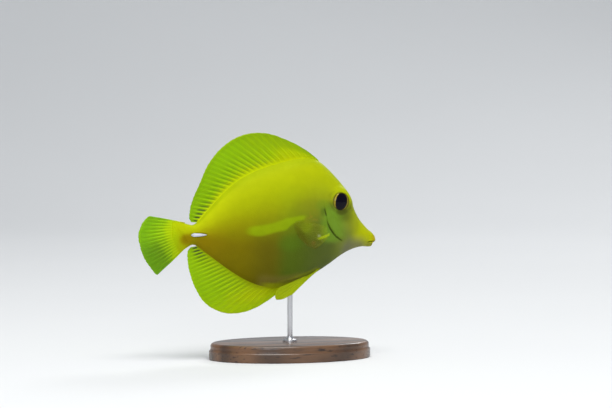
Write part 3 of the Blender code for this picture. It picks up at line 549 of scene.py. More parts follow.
add_piece(
    "skin", skin_mesh(), [skin_finish()], "skin",
    "head", "gill_cover_right", "gill_cover_left", "upper_jaw", "lower_jaw", "trunk", "tail_stalk",
)

# The fins: thin skin stretched over rays of bone, stiff spines in front and soft rays that fork towards the
# margin behind. The model's are cast in clear tinted resin, each with its root sunk in the body, and painted
# so that the rays stay more solid than the skin between them.
FIN_ROWS, FIN_COLUMNS = 54, 12
WEB_HALF, FIN_SINK = 0.13, 1.8
# Where the ribs are lower than this share of their height, the web between them begins
WEB_SHARE = 0.05
# How far the margin is drawn in between rays and between spines, and how unequal the rays are
NOTCH, SPINE_NOTCH, UNEVEN = 0.12, 0.012, 0.08


def ray_profile(distance, spacing, t, spine, half):
    """Height of a ray over the web, as a share of its half width: a rib that forks twice, or one spine."""
    height = np.zeros(distance.shape)
    spread = 0.15 * spacing * rise(0.34, 0.9, t) * (1 - spine)
    finer = 0.07 * spacing * rise(0.66, 1.0, t) * (1 - spine)
    width = half * (1 - 0.35 * rise(0.4, 0.9, t) * (1 - spine))
    for fork in (-1, 1):
        for twig in (-1, 1):
            off = distance - fork * spread - twig * finer
            height = np.maximum(height, np.sqrt(np.clip(1 - (off / width) ** 2, 0, 1)))
    return height


def with_root(rows):
    """Values along the rays with the first one repeated, for the row of points that is sunk in the body."""
    return np.concatenate([rows[:, :1], rows], axis=1)


def fin_mesh(
    name, rays, root, tip, seed, bend=None, spines=0, root_half=0.5, ray_root=0.40, ray_tip=0.12, sunk=None,
    ribbed=(0.0, 0.16),
):
    """A fin from the two ends of its rays. u runs from 0 at the first ray to 1 at the last."""
    chance = np.random.default_rng(seed)
    columns = (rays - 1) * FIN_COLUMNS + 1
    u, t = np.meshgrid(np.linspace(0, 1, columns), np.linspace(0, 1, FIN_ROWS), indexing="ij")
    place = u * (rays - 1)
    nearest = np.rint(place)
    beside = place - nearest
    lengths = chance.uniform(-1, 1, rays)
    spine = np.clip(spines - nearest, 0, 1)
    # Between two rays the margin is drawn in a little, more where a spine stands free
    start, end = root(u), tip(u)
    length = np.linalg.norm(end - start, axis=-1)
    notch = (np.abs(beside) * 2) ** 1.6 * (NOTCH + SPINE_NOTCH * length * spine)
    notch = notch - UNEVEN * lengths[nearest.astype(int)]
    at = t * (1 - notch / np.maximum(length, 1.0) * t**6)
    middle = start + (end - start) * at[..., None]
    if bend is not None:
        middle += bend(u, at)
    to_next = np.gradient(middle, axis=0)
    normal = np.cross(np.gradient(middle, axis=1), to_next)
    normal /= np.maximum(np.linalg.norm(normal, axis=-1, keepdims=True), 1e-9)
    spacing = np.linalg.norm(to_next, axis=-1) * FIN_COLUMNS
    half_ray = np.minimum(ray_root, 0.27 * spacing) * (1 - t) + np.minimum(ray_tip, 0.2 * spacing) * t
    rib = ray_profile(beside * spacing, spacing, t, spine, half_ray)
    web = WEB_HALF * (1 - 0.45 * t) + (root_half - WEB_HALF) * (1 - np.clip(t / 0.12, 0, 1)) ** 1.7
    raised = np.minimum(half_ray, 0.30) * rib * (1 - 0.25 * t) * rise(*ribbed, t)
    outward = with_root(normal * ((web + raised) * (1 - 0.6 * rise(0.975, 1.0, t)))[..., None])
    if sunk is None:
        sunk = (start - end) / np.maximum(length, 1e-6)[..., None] * FIN_SINK
    middle = np.concatenate([(start + sunk)[:, :1], middle], axis=1)
    points = place_in_row(np.stack([middle - outward, middle + outward]).reshape(-1, 3))
    rows = FIN_ROWS + 1
    count = columns * rows
    index = np.arange(count).reshape(columns, rows)
    cover = quads(index)
    border = np.concatenate([index[:, 0], index[-1, 1:], index[-2::-1, -1], index[0, -2:0:-1]])
    after = np.roll(border, -1)
    wall = np.stack([border, after, after + count, border + count], axis=1)
    faces = np.concatenate([cover, cover[:, ::-1] + count, wall])
    mesh = bpy.data.meshes.new(name)
    mesh.from_pydata(points.tolist(), [], faces.tolist())
    mesh.shade_smooth()
    # One half of the unwrap for each side of the fin, and a strip along its top for the edge all round
    front = sheet(np.linspace(0, 0.49, columns), np.linspace(0, 0.96, rows))
    back = front.reshape(-1, 4, 2)[:, ::-1].reshape(-1, 2) + (0.51, 0)
    strip = sheet((0.98, 1.0), np.arange(len(wall) + 1) / len(wall))[:, ::-1]
    lay_out(mesh, np.concatenate([front, back, strip]))
    values = {"rib": rib, "out": t, "order": u, "grain": t * length, "gap": np.abs(beside) * 2}
    for key, value in values.items():
        carry(mesh, key, np.tile(with_root(value).ravel(), 2))
    # Faces of the web between two ribs take the second finish, but none at the root or the margin
    thin = with_root(rib) < WEB_SHARE
    thin[:, :3] = False
    thin[:, -3:] = False
    web_faces = thin.ravel()[cover].all(axis=1)
    slots = np.concatenate([web_faces, web_faces, np.zeros(len(wall), bool)]).astype(np.int32)
    mesh.polygons.foreach_set("material_index", slots)
    return mesh


# What a fin's paint says unless it says otherwise: no slits, where along the ray they would begin and end,
# and how much stronger and how wide they are between the hindmost rays. The slits are painted shade, the
# dark that shows through the clear skin between the rays
PLAIN_WEB = {"slits": (0.0, 0.0), "reach": (0.05, 0.16, 0.38, 0.74), "last_slits": 1.0, "hind_slit": 0.5}
# The painted highlight on the tops of the rays
RIB_HIGHLIGHT = (0.60, 0.68, 0.01)
# How high the rays' joints and the grain of the web stand, in metres
JOINT_HEIGHT, WEB_GRAIN_HEIGHT = 0.00003, 0.00002


def fin_finish(name, paint, clear=1.0):
    """The paint has the colours from root to margin in front and behind, and the painted shade of the slits.
    """
    paint = {**PLAIN_WEB, "hind_shade": paint["slit_shade"], **paint}
    finish = Finish(
        name, Subsurface_Weight=0.2, Subsurface_Radius=(1.0, 0.9, 0.08), Subsurface_Scale=0.0006,
        Alpha=clear, **SATIN,
    )
    out, rib, order = finish.painted("out"), finish.painted("rib"), finish.painted("order")
    wander = finish.wander(90, 0.25)
    away = finish.maths("ADD", out, wander)
    behind = finish.between(finish.maths("ADD", order, wander), *paint["turn"])
    colour = finish.mix(behind, finish.ramp(away, paint["front"]), finish.ramp(away, paint["rear"]))
    # The slits are painted shade between the rays, strongest and widest between the hindmost ones
    start, full, fading, gone = paint["reach"]
    slit_edge = finish.between(order, 0.72, 0.95, 0.50, paint["hind_slit"])
    slit = finish.between(finish.painted("gap"), slit_edge, 0.95)
    for limits in (
        (away, start, full), (away, gone, fading), (behind, 0, 1, *paint["slits"]),
        (order, 0.70, 0.95, 1.0, paint["last_slits"]),
    ):
        slit = finish.times(slit, finish.between(*limits))
    hindmost = finish.between(order, 0.74, 0.96)
    colour = finish.mix(slit, colour, finish.mix(hindmost, paint["slit_shade"], paint["hind_shade"]))
    # Painted shade in the grooves beside the rays, towards the margin
    groove = finish.times(finish.between(rib, 0.35, 0.0), finish.between(out, 0.35, 0.75, 0.0, 0.12))
    colour = finish.mix(groove, colour, paint["slit_shade"])
    # A painted highlight on the tops of the rays near the root
    crest = finish.times(finish.between(rib, 0.5, 1.0), finish.between(out, 0.85, 0.3, 0.0, 0.22))
    colour = finish.mix(finish.times(crest, behind), colour, RIB_HIGHLIGHT)
    colour = finish.mix(finish.between(out, 0.965, 1.0, 0.0, 0.4), colour, paint["margin"])
    # Fine joints cross the rays
    along = finish.node("CombineXYZ", {"X": finish.painted("grain")}).outputs["Vector"]
    crossing = {"Scale": 0.55, "Distortion": 0.4, "Vector": along}
    joints = finish.node("TexWave", crossing, wave_type="BANDS", bands_direction="X")
    normal = finish.bump(finish.times(joints.outputs["Fac"], finish.between(rib, 0.2, 0.8)), JOINT_HEIGHT)
    normal = finish.bump(finish.noise(1500, 3), WEB_GRAIN_HEIGHT, normal)
    rough = finish.between(finish.noise(300), 0.3, 0.7, 0.36, 0.50)
    if "veil" in paint:
        web_solid, ray_solid, margin_solid = paint["veil"]
        edging = finish.times(finish.between(out, 0.70, 0.97, 0.0, margin_solid), behind)
        solid = finish.between(rib, 0.1, 0.8, web_solid, ray_solid)
        finish.set(Alpha=finish.maths("MAXIMUM", solid, edging))
    return finish.set(Base_Color=colour, Normal=normal, Roughness=rough)


def add_fin(name, mesh, paint, clear=0.95):
    finishes = [fin_finish(name + "_rays", paint), fin_finish(name + "_web", paint, clear)]
    add_piece(name + "_rayed", mesh, finishes, "fins", name)


# The back fin and the anal fin run along the midline and lean back. The back fin has five spines and the anal
# fin three, and both wave a little from side to side. In front they are as yellow as the back, behind lime.
DORSAL_SPINES, ANAL_SPINES = 5, 3
DORSAL = [
    (-30.8, 4.0, 6), (-24, 9.9, 9), (-16, 14.2, 14), (-7.5, 18.8, 22), (-1, 21.3, 29), (5.4, 22.4, 36),
    (12, 21.5, 42), (18.3, 17.7, 46), (22.5, 12.9, 48.5), (26, 8.6, 50.5), (28.6, 5.2, 52.5),
    (31.0, 1.6, 56),
]
ANAL = [
    (-30.8, 4.4, 10), (-25, 11.1, 19), (-18.7, 16.4, 21), (-12.4, 20.4, 24), (-6.1, 22.9, 29),
    (0.7, 21.9, 36.5), (5, 17.9, 43.5), (8.5, 13.0, 47.5), (11, 8.2, 49.5), (13.2, 3.8, 50),
]
FIN_WAVE, FIN_WAVES = 0.9, 2.2
# The painted shade between the hindmost rays
HIND_SLIT_SHADE = (0.03, 0.05, 0.025)
DORSAL_PAINT = {
    "front": [
        (0.0, (0.45, 0.51, 0.002)), (0.25, (0.41, 0.51, 0.002)), (0.6, (0.275, 0.41, 0.003)),
        (1.0, (0.22, 0.355, 0.003)),
    ],
    "rear": [
        (0.0, (0.50, 0.58, 0.002)), (0.12, (0.45, 0.56, 0.002)), (0.27, (0.32, 0.51, 0.003)),
        (0.4, (0.265, 0.49, 0.003)), (0.85, (0.24, 0.46, 0.004)), (1.0, (0.21, 0.40, 0.004)),
    ],
    "turn": (0.10, 0.50), "slits": (0.10, 0.60), "slit_shade": (0.10, 0.18, 0.006),
    "margin": (0.42, 0.50, 0.005), "last_slits": 1.65, "hind_slit": 0.25, "hind_shade": HIND_SLIT_SHADE,
}
ANAL_PAINT = {
    "front": [(0.0, (0.30, 0.32, 0.003)), (0.16, (0.41, 0.50, 0.002)), (1.0, (0.38, 0.55, 0.003))],
    "rear": [
        (0.0, (0.28, 0.38, 0.003)), (0.14, (0.32, 0.49, 0.003)), (0.45, (0.29, 0.50, 0.003)),
        (1.0, (0.26, 0.47, 0.004)),
    ],
    "turn": (0.15, 0.50), "slits": (0.08, 0.58), "slit_shade": (0.09, 0.16, 0.006),
    "margin": (0.42, 0.50, 0.005), "reach": (0.05, 0.16, 0.38, 0.78), "last_slits": 1.75,
    "hind_slit": 0.12, "hind_shade": HIND_SLIT_SHADE,
}
# The hindmost corner of both fins is rounded off by this share of the last ray
CORNER_START, CORNER_CUT = 0.955, 0.34


def spread_vector(x, y, z):
    return np.stack(np.broadcast_arrays(x, y, z), axis=-1)


def median_fin_mesh(name, roots, spines, table, outline, upward, seed):
    rays, first_x, last_x, crowding = roots

    def root(u):
        x = first_x + (last_x - first_x) * u * (1 + crowding * (1 - u))
        return spread_vector(x, 0 * x, curve(outline, x))

    def tip(u):
        start = root(u)
        length, lean = curve(table, start[..., 0], 1), np.radians(curve(table, start[..., 0], 2))
        length = length * (1 - CORNER_CUT * (np.maximum(u - CORNER_START, 0) / (1 - CORNER_START)) ** 2)
        return start + spread_vector(-np.cos(lean), 0 * lean, upward * np.sin(lean)) * length[..., None]

    def bend(u, t):
        return spread_vector(0 * t, FIN_WAVE * t * t * np.sin(FIN_WAVES * np.pi * u), 0 * t)

    return fin_mesh(name, rays, root, tip, seed, bend, spines)


dorsal = median_fin_mesh("dorsal", DORSAL_ROOTS, DORSAL_SPINES, DORSAL, BACK, 1, seed=2)
anal = median_fin_mesh("anal", ANAL_ROOTS, ANAL_SPINES, ANAL, BELLY, -1, seed=3)
add_fin("dorsal_fin", dorsal, DORSAL_PAINT)
add_fin("anal_fin", anal, ANAL_PAINT)

# The tail fin opens like a fan from the end of the stalk, swung down as the fish turns. Its base is warm
# orange yellow and the blade of it fresh green, darker towards the lower lobe.
TAIL_RAYS = 16
TAIL_TOP, TAIL_BOTTOM = 10.9, -42.5
TAIL_ROOT_RADIUS = 13.4
TAIL_RADIUS = [
    (0.0, 30.0), (0.06, 31.4), (0.15, 33.0), (0.3, 34.65), (0.45, 34.7), (0.72, 34.4), (0.85, 33.95),
    (0.93, 33.8), (1.0, 33.9),
]
TAIL_TWIST, TAIL_BOW = 1.2, 0.3
TAIL_CORNER, TAIL_CORNER_CUT = 0.035, 0.6
TAIL_PAINT = {
    "front": [
        (0.0, (0.42, 0.42, 0.002)), (0.12, (0.46, 0.55, 0.002)), (0.3, (0.42, 0.59, 0.004)),
        (0.45, (0.31, 0.55, 0.007)), (0.65, (0.25, 0.51, 0.008)), (0.85, (0.20, 0.45, 0.008)),
        (1.0, (0.22, 0.47, 0.01)),
    ],
    "rear": [
        (0.0, (0.40, 0.42, 0.002)), (0.12, (0.37, 0.45, 0.002)), (0.3, (0.30, 0.46, 0.003)),
        (0.45, (0.23, 0.41, 0.005)), (0.65, (0.12, 0.28, 0.009)), (1.0, (0.125, 0.31, 0.01)),
    ],
    "turn": (0.28, 0.66), "slits": (0.5, 0.5), "slit_shade": (0.10, 0.20, 0.004),
    "margin": (0.30, 0.45, 0.01), "reach": (0.30, 0.45, 0.60, 0.85), "last_slits": 0.8,
}


def tail_spoke(u, radius):
    angle = np.radians(TAIL_TOP + (TAIL_BOTTOM - TAIL_TOP) * u)
    return spread_vector(TAIL_HUB_X - radius * np.cos(angle), 0 * u, TAIL_HUB_Z + radius * np.sin(angle))


def tail_bend(u, t):
    return spread_vector(0 * t, TAIL_TWIST * t * t * (2 * u - 1), TAIL_BOW * t * (1 - t) * (1 - 2 * u))


def tail_margin(u):
    """The margin's distance from the hub, with both corners rounded off a little."""
    to_corner = np.maximum(1 - np.minimum(u, 1 - u) / TAIL_CORNER, 0)
    return tail_spoke(u, curve(TAIL_RADIUS, u) - TAIL_CORNER_CUT * to_corner**2)


tail = fin_mesh(
    "tail", TAIL_RAYS, lambda u: tail_spoke(u, TAIL_ROOT_RADIUS), tail_margin, seed=4, bend=tail_bend,
    ray_root=0.36, ribbed=(0.15, 0.5),
)
add_fin("tail_fin", tail, TAIL_PAINT)

# The pectoral fins stand off the flanks behind the gill covers, clear as glass but for their rays and a brown
# trailing edge, partly painted shadow. The pelvic fins hang back under the belly, each behind one strong
# spine.
PECTORAL_RAYS, PECTORAL_SPREAD = 14, 20.0
PECTORAL = [(0.0, 16.5, 14), (0.14, 20.2, 9), (0.4, 18.6, -3), (0.7, 14.2, -20), (1.0, 9.6, -36)]
PECTORAL_ROOT = [(31.6, 4.0), (33.2, -1.4)]
PECTORAL_SUNK = (1.2, -1.6, -0.3)
PELVIC_RAYS, PELVIC_SPREAD = 6, 13.0
PELVIC = [
    (0.0, 19.5, -38), (0.2, 24.5, -34), (0.4, 26.8, -30), (0.6, 26, -26), (0.8, 23.5, -21.5),
    (1.0, 20, -17.5),
]
PELVIC_ROOT = [(30.0, -16.6), (27.6, -18.8)]
PELVIC_SUNK = (1.4, -0.5, 1.6)
# The brown of its outer part and trailing edge is partly the fin's own edge and partly painted shadow
PECTORAL_PAINT = {
    "front": [
        (0.0, (0.40, 0.44, 0.004)), (0.55, (0.32, 0.36, 0.004)), (0.85, (0.18, 0.17, 0.004)),
        (1.0, (0.12, 0.11, 0.004)),
    ],
    "rear": [
        (0.0, (0.46, 0.50, 0.01)), (0.55, (0.34, 0.37, 0.008)), (0.85, (0.17, 0.14, 0.006)),
        (1.0, (0.10, 0.08, 0.004)),
    ],
    "turn": (0.25, 0.5), "slit_shade": (0.2, 0.2, 0.003), "margin": (0.12, 0.09, 0.006),
    "veil": (0.05, 0.22, 0.24),
}
PELVIC_PAINT = {
    "front": [(0.0, (0.29, 0.36, 0.004)), (0.3, (0.31, 0.39, 0.004)), (1.0, (0.31, 0.38, 0.004))],
    "rear": [(0.0, (0.27, 0.33, 0.004)), (0.3, (0.27, 0.34, 0.004)), (1.0, (0.27, 0.34, 0.004))],
    "turn": (0.1, 0.6), "slits": (0.3, 0.3), "slit_shade": (0.11, 0.17, 0.004),
    "margin": (0.42, 0.47, 0.005),
}


def paired_fin_mesh(name, side, rays, table, root_line, spread, inwards, seed, **sizes):
    (first_x, first_z), (last_x, last_z) = root_line
    out = math.radians(spread)

    def root(u):
        x, z = first_x + (last_x - first_x) * u, first_z + (last_z - first_z) * u
        return spread_vector(x, side * flank(x, z), z)

    def tip(u):
        length, lean = curve(table, u, 1), np.radians(curve(table, u, 2))
        flat = math.cos(out)
        back = spread_vector(-np.cos(lean) * flat, side * math.sin(out), np.sin(lean) * flat)
        return root(u) + back * length[..., None]

    sunk = (inwards[0], side * inwards[1], inwards[2])
    return fin_mesh(name, rays, root, tip, seed, sunk=sunk, **sizes)


for side, word in SIDES:
    pectoral = paired_fin_mesh(
        "pectoral_" + word, side, PECTORAL_RAYS, PECTORAL, PECTORAL_ROOT, PECTORAL_SPREAD, PECTORAL_SUNK,
        root_half=0.45, ray_root=0.20, ray_tip=0.07, seed=5,
    )
    add_fin("pectoral_fin_" + word, pectoral, PECTORAL_PAINT)
    pelvic = paired_fin_mesh(
        "pelvic_" + word, side, PELVIC_RAYS, PELVIC, PELVIC_ROOT, PELVIC_SPREAD, PELVIC_SUNK,
        spines=1, ray_root=0.34, seed=6,
    )
    add_fin("pelvic_fin_" + word, pelvic, PELVIC_PAINT, clear=1.0)

# The eyes: a black pupil in a thin dark iris flecked with gold, under a clear round cornea. On the model each
# is one glass eye, set from outside into its socket.
EYE_BULGE, EYE_DEPTH = 1.15, 1.6
EYE_AROUND, EYE_STEPS = 72, 30
# The dome's share of the steps from its top to the back of the eye, and how flat its top is
DOME_SHARE, DOME_POWER = 0.84, 2.4
PUPIL_HALF, PUPIL_FORWARD, PUPIL_LEAN = (2.75, 3.85), -0.12, -12
# The iris by its distance from the pupil's middle, as shares of the pupil's own size: its brightest part,
# which is behind the pupil and a little above it, and its plain part in front
PUPIL_GLASS = [(0.80, (0.002, 0.001, 0.006)), (1.03, (0.004, 0.003, 0.004))]
GOLD_IRIS = PUPIL_GLASS + [
    (1.07, (0.10, 0.06, 0.01)), (1.13, (0.44, 0.35, 0.03)), (1.21, (0.33, 0.27, 0.012)),
    (1.30, (0.13, 0.11, 0.006)), (1.38, (0.22, 0.21, 0.007)), (1.50, (0.09, 0.10, 0.005)),
    (1.70, (0.06, 0.07, 0.005)),
]
BROWN_IRIS = PUPIL_GLASS + [
    (1.10, (0.06, 0.045, 0.008)), (1.24, (0.25, 0.20, 0.015)), (1.38, (0.11, 0.09, 0.008)),
    (1.55, (0.16, 0.15, 0.008)), (1.70, (0.06, 0.06, 0.006)),
]
IRIS_RIM, RIM_WIDTH = (0.022, 0.020, 0.004), 0.25
# How far the gold side of the iris is turned up
GOLD_UPWARD = 0.45


def flank_place(x, z, side, slope=1.0):
    """A place on the flank whose Z axis points out of the skin, less forward and up with a lower slope."""
    across, upward = flank_slope(x, z)
    outward = Vector((-across * slope, side, -upward * slope)).normalized()
    forward = Vector((1, 0, 0))
    forward = (forward - forward.project(outward)).normalized()
    turned = Matrix((forward, outward.cross(forward), outward)).transposed().to_4x4()
    spot = Vector(place_in_row((x, side * float(flank(x, z)), z)))
    return Matrix.Translation(spot) @ turned


def circle(count):
    turns = [2 * math.pi * n / count for n in range(count)]
    return [(math.cos(turn), math.sin(turn)) for turn in turns]


def ringed_mesh(name, rings, tip=None, closed=False):
    """A skin over rings of points. Its ends are flat, or the first runs to a tip, or they are joined."""
    mesh = bmesh.new()
    rings = [[mesh.verts.new(point) for point in ring] for ring in rings]
    pairs = list(zip(rings, rings[1:]))
    if closed:
        pairs.append((rings[-1], rings[0]))
    else:
        mesh.faces.new(rings[-1])
    if tip is not None:
        top = mesh.verts.new(tip)
        for n in range(len(rings[0])):
            mesh.faces.new((top, rings[0][n - 1], rings[0][n]))
    elif not closed:
        mesh.faces.new(rings[0])
    for ring, following in pairs:
        for n in range(len(ring)):
            mesh.faces.new((ring[n - 1], ring[n], following[n], following[n - 1]))
    bmesh.ops.recalc_face_normals(mesh, faces=mesh.faces)
    data = bpy.data.meshes.new(name)
    mesh.to_mesh(data)
    mesh.free()
    data.shade_smooth()
    return data


def eye_mesh():
    """A dome of glass on a short drum, about the middle of its rim."""
    rings = []
    for k in range(1, EYE_STEPS + 1):
        share = k / EYE_STEPS
        if share <= DOME_SHARE:
            inside = share / DOME_SHARE
            radius, height = EYE_RADIUS * inside, EYE_BULGE * (1 - inside**DOME_POWER)
        else:
            radius, height = EYE_RADIUS, -EYE_DEPTH * (share - DOME_SHARE) / (1 - DOME_SHARE)
        rings.append([(radius * MM * x, radius * MM * y, height * MM) for x, y in circle(EYE_AROUND)])
    return ringed_mesh("eye", rings, tip=(0, 0, EYE_BULGE * MM))


def eye_finish(word, side):
    finish = Finish(
        "eye_glass_" + word, Roughness=0.3, Coat_Weight=0.7, Coat_Roughness=0.02, Coat_IOR=1.28,
        Specular_IOR_Level=0.0,
    )
    spot = finish.node("SeparateXYZ", {"Vector": finish.place()})
    flat = finish.node("CombineXYZ", {"X": spot.outputs["X"], "Y": spot.outputs["Y"]}).outputs["Vector"]
    radius = finish.node("VectorMath", {0: flat}, operation="LENGTH")
    # The pupil is a tall oval, set a little forward and leaning
    turned = {"Vector": flat, "Center": (PUPIL_FORWARD * MM, 0, 0)}
    turned["Angle"] = math.radians(PUPIL_LEAN * side)
    lean = finish.node("VectorRotate", turned, rotation_type="Z_AXIS")
    across, up = PUPIL_HALF
    oval = finish.node("Mapping", {
        "Location": (-PUPIL_FORWARD / across, 0, 0), "Scale": (1 / (across * MM), 1 / (up * MM), 0),
        "Vector": lean.outputs["Vector"],
    })
    pupil = finish.node("VectorMath", {0: oval.outputs["Vector"]}, operation="LENGTH")
    share = finish.maths("ADD", pupil.outputs["Value"], finish.wander(1100, 0.22))
    rearward = finish.times(spot.outputs["X"], -1 / (EYE_RADIUS * MM))
    upward = finish.times(spot.outputs["Y"], -side * GOLD_UPWARD / (EYE_RADIUS * MM))
    behind = finish.between(finish.maths("ADD", rearward, upward), 0.25, 0.68)
    colour = finish.mix(behind, finish.ramp(share, BROWN_IRIS), finish.ramp(share, GOLD_IRIS))
    rim = finish.between(radius.outputs["Value"], (EYE_RADIUS - RIM_WIDTH) * MM, EYE_RADIUS * MM, 0.0, 0.8)
    return finish.set(Base_Color=finish.mix(rim, colour, IRIS_RIM))


for side, word in SIDES:
    add_piece(
        "eye_glass_" + word, eye_mesh(), [eye_finish(word, side)], "eyes", "eye_" + word,
        place=flank_place(EYE_X, EYE_Z, side, EYE_SLOPE),
    )

# The white blades of the tail, one on each side, folded into their sheaths with the point forward. They are
# smooth bone, cast in white resin and polished.
BLADE_LENGTH, BLADE_HEIGHT, BLADE_THICKNESS = 7.4, 1.7, 1.3
BLADE_STEPS, BLADE_AROUND = 40, 28
# The share of the length that its round heel takes up
HEEL = 0.16
BONE_GRAIN_HEIGHT = 0.00002


def blade_mesh(side):
    rings = []
    for k in range(BLADE_STEPS + 1):
        share = k / BLADE_STEPS
        x = BLADE_X + BLADE_LENGTH * (share - 0.5)
        taper = (1 - (max(share - HEEL, 0) / (1 - HEEL)) ** 2.2) ** 0.75
        plump = max(math.sqrt(share / HEEL) if share < HEEL else taper, 0.015)
        middle = side * float(flank(x, BLADE_Z))
        thick, high = BLADE_THICKNESS / 2 * plump, BLADE_HEIGHT / 2 * plump
        ring = [(x, middle + thick * out, BLADE_Z + high * up) for out, up in circle(BLADE_AROUND)]
        rings.append(place_in_row(ring))
    return ringed_mesh("blade", rings)


def blade_finish():
    finish = Finish("blade_white", Coat_Weight=0.2, Coat_Roughness=0.15, Specular_IOR_Level=0.4)
    clouds = finish.between(finish.noise(500, 3), 0.35, 0.7)
    colour = finish.mix(clouds, (0.62, 0.63, 0.72), (0.48, 0.50, 0.56))
    normal = finish.bump(finish.noise(1200, 2, (0.2, 1, 1)), BONE_GRAIN_HEIGHT)
    return finish.set(Base_Color=colour, Normal=normal, Roughness=0.3)


for side, word in SIDES:
    blade = "tail_blade_" + word
    add_piece(blade + "_polished", blade_mesh(side), [blade_finish()], "blades", blade)

# The stand: an oval of dark walnut with a moulded edge, turned from one board and lacquered. A brushed steel
# rod goes up from it into the belly, and a small steel collar hides where the rod enters the wood.
ROD_X, ROD_RADIUS = 16.2, 1.3
SHARP_ANGLE = 35
PORE_HEIGHT, BRUSH_HEIGHT = 0.00006, 0.00002


def turned_mesh(name, profile, around, narrow=1.0, closed=False):
    """A shape turned about the rod's line, from rows of radius and height in millimetres."""
    rings = []
    for radius, height in profile:
        spots = [(ROD_X + radius * x, radius * narrow * y, height) for x, y in circle(around)]
        rings.append([Vector(spot) * MM for spot in spots])
    mesh = ringed_mesh(name, rings, closed=closed)
    mesh.set_sharp_from_angle(angle=math.radians(SHARP_ANGLE))
    return mesh


def rounded(corner, radius, start, end, steps):
    """Points of a round edge about a corner, between two angles in degrees."""
    angles = [math.radians(start + (end - start) * k / steps) for k in range(steps + 1)]
    return [(corner[0] + radius * math.cos(a), corner[1] + radius * math.sin(a)) for a in angles]


def walnut_finish():
    finish = Finish("walnut", Coat_Weight=0.35, Coat_Roughness=0.12, Specular_IOR_Level=0.45)
    grain = {"Scale": 26, "Distortion": 5.0, "Detail": 3.0, "Detail Scale": 1.6}
    grain["Vector"] = finish.place((0.35, 1.0, 1.0))
    rings = finish.node("TexWave", grain, wave_type="RINGS", rings_direction="X")
    pores = finish.noise(900, 4, (0.06, 1.0, 1.0))
    colour = finish.mix(rings.outputs["Fac"], (0.060, 0.028, 0.013), (0.165, 0.080, 0.036))
    colour = finish.mix(finish.between(pores, 0.56, 0.70), colour, (0.03, 0.014, 0.007))
    normal = finish.bump(pores, PORE_HEIGHT)
    rough = finish.between(pores, 0.3, 0.7, 0.30, 0.46)
    return finish.set(Base_Color=colour, Normal=normal, Roughness=rough)


def steel_finish():
    finish = Finish("brushed_steel", Metallic=1.0)
    brushed = finish.noise(700, 3, (1.0, 1.0, 0.05))
    colour = finish.mix(brushed, (0.50, 0.50, 0.52), (0.68, 0.68, 0.70))
    normal = finish.bump(brushed, BRUSH_HEIGHT)
    rough = finish.between(brushed, 0.3, 0.7, 0.2, 0.36)
    return finish.set(Base_Color=colour, Normal=normal, Roughness=rough)


def turned_sizes(node):
    """The half length, half width, foot and top of a solid, in millimetres."""
    low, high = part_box(node)
    return (high.x - low.x) / 2 / MM, (high.y - low.y) / 2 / MM, low.z / MM, high.z / MM


# The base has a small round at its foot, a bead over it and a broad round at its top. The bead's rows are how
# far in from the edge and how far up it goes, as a share of the height
FOOT_ROUND, TOP_ROUND, FOOT_INSET = 0.7, 1.7, 1.0
BEAD = [(0.0, 0.52), (0.55, 0.58), (0.75, 0.66)]
half_length, half_width, _, base_height = turned_sizes("stand_base")
base_profile = [(half_length - FOOT_INSET, 0.0)]
base_profile += rounded((half_length - FOOT_ROUND, FOOT_ROUND), FOOT_ROUND, -80, 0, 5)
base_profile += [(half_length - inset, base_height * share) for inset, share in BEAD]
top_middle = (half_length - FOOT_ROUND - TOP_ROUND, base_height - TOP_ROUND)
base_profile += rounded(top_middle, TOP_ROUND, 0, 90, 8) + [(ROD_RADIUS, base_height)]
base = turned_mesh("base", base_profile, 160, narrow=half_width / half_length)
add_piece("base_walnut", base, [walnut_finish()], "stand_wood", "stand_base")

_, _, rod_foot, rod_top = turned_sizes("stand_rod")
rod = turned_mesh("rod", [(ROD_RADIUS, rod_foot), (ROD_RADIUS, rod_top)], 48)
add_piece("rod_steel", rod, [steel_finish()], "stand_steel", "stand_rod")

# The collar is a ring with a rounded foot and a hollow neck
COLLAR_ROUND, COLLAR_FOOT, NECK_WALL, NECK_LIP = 0.3, 0.8, 0.3, 0.1
collar_radius, _, _, collar_top = turned_sizes("stand_collar")
shoulder = collar_radius - COLLAR_ROUND
collar_profile = [(ROD_RADIUS, base_height), (collar_radius, base_height)]
collar_profile += rounded((shoulder, base_height + COLLAR_FOOT), COLLAR_ROUND, 0, 90, 4)
neck_radius = shoulder - ROD_RADIUS - NECK_WALL
collar_profile += rounded((shoulder, collar_top - NECK_LIP), neck_radius, 270, 180, 8)
collar = turned_mesh("collar", collar_profile + [(ROD_RADIUS, collar_top)], 64, closed=True)
add_piece("collar_steel", collar, [steel_finish()], "stand_steel", "stand_collar")

# The studio: a pale floor that curves up behind, one broad soft light overhead and two weak ones, and a long
# lens level with the fish, which heads a little away from it.
CAMERA_AZIMUTH, CAMERA_HEIGHT = -20.0, 3.0
CAMERA_DISTANCE = 1.6
PHOTO_WIDTH, PHOTO_HEIGHT = 612, 408
METRES_A_PIXEL = 0.000478
AXIS_PIXEL = (258, 235)
SENSOR = 36.0

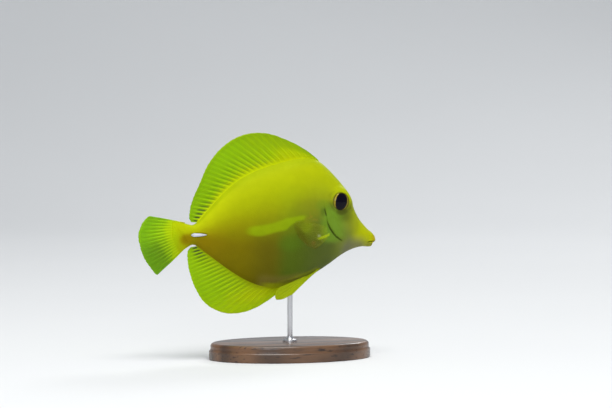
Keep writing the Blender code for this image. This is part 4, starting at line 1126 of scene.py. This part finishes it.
azimuth, elevation = math.radians(CAMERA_AZIMUTH), math.radians(CAMERA_HEIGHT)
backward = Vector((
    math.sin(azimuth) * math.cos(elevation), -math.cos(azimuth) * math.cos(elevation), math.sin(elevation),
))
rightward = Vector((math.cos(azimuth), math.sin(azimuth), 0))
upward = backward.cross(rightward)
aim = Vector((0, 0, AXIS_HEIGHT * MM))
aim += rightward * (PHOTO_WIDTH / 2 - AXIS_PIXEL[0]) * METRES_A_PIXEL
aim += upward * (AXIS_PIXEL[1] - PHOTO_HEIGHT / 2) * METRES_A_PIXEL
camera = set_down("camera", bpy.data.cameras.new("camera"))
camera.location = aim + backward * CAMERA_DISTANCE
camera.rotation_euler = (-backward).to_track_quat("-Z", "Y").to_euler()
camera.data.sensor_width = SENSOR
camera.data.lens = SENSOR * CAMERA_DISTANCE / (PHOTO_WIDTH * METRES_A_PIXEL)
camera.data.clip_end = 20.0
bpy.context.scene.camera = camera


def floor_mesh():
    """A floor that curves up into a wall, swept across the back of the studio."""
    width, front, back, bend, height = 8.0, -4.0, 2.2, 1.2, 4.0
    curve_up = rounded((back - bend, bend), bend, -90, 0, 24)
    profile = [(front, 0.0)] + curve_up + [(back, height)]
    verts = [(x, y, z) for x in (-width, width) for y, z in profile]
    count = len(profile)
    faces = [(k, k + 1, k + 1 + count, k + count) for k in range(count - 1)]
    mesh = bpy.data.meshes.new("floor")
    mesh.from_pydata(verts, [], faces)
    mesh.shade_smooth()
    return mesh


def floor_finish():
    finish = Finish("studio_paper", Roughness=0.9, Specular_IOR_Level=0.1)
    colour = finish.mix(finish.noise(3, 2), (0.74, 0.75, 0.76), (0.78, 0.79, 0.80))
    return finish.set(Base_Color=colour)


floor = set_down("floor", floor_mesh())
floor.rotation_euler = (0, 0, azimuth)
floor.data.materials.append(floor_finish())


def add_light(name, spot, size, watts, colour):
    data = bpy.data.lights.new(name, "AREA")
    data.shape = "DISK"
    data.size = size
    data.energy = watts
    data.color = colour
    light = set_down(name, data)
    light.location = spot
    light.visible_camera = False
    light.rotation_euler = (aim - Vector(spot)).to_track_quat("-Z", "Y").to_euler()


add_light("overhead", (-0.1, -0.5, 1.3), 0.9, 16, (1.0, 0.99, 0.96))
add_light("front_fill", (-0.6, -1.6, 0.6), 0.8, 6, (0.95, 0.97, 1.0))
add_light("rim", (0.9, 0.9, 0.9), 0.5, 5, (1.0, 1.0, 1.0))

world = bpy.data.worlds.new("studio")
bpy.context.scene.world = world
world.use_nodes = True
world.node_tree.nodes["Background"].inputs["Color"].default_value = (0.86, 0.90, 0.95, 1)
world.node_tree.nodes["Background"].inputs["Strength"].default_value = 0.45
bpy.context.scene.view_settings.view_transform = "Standard"
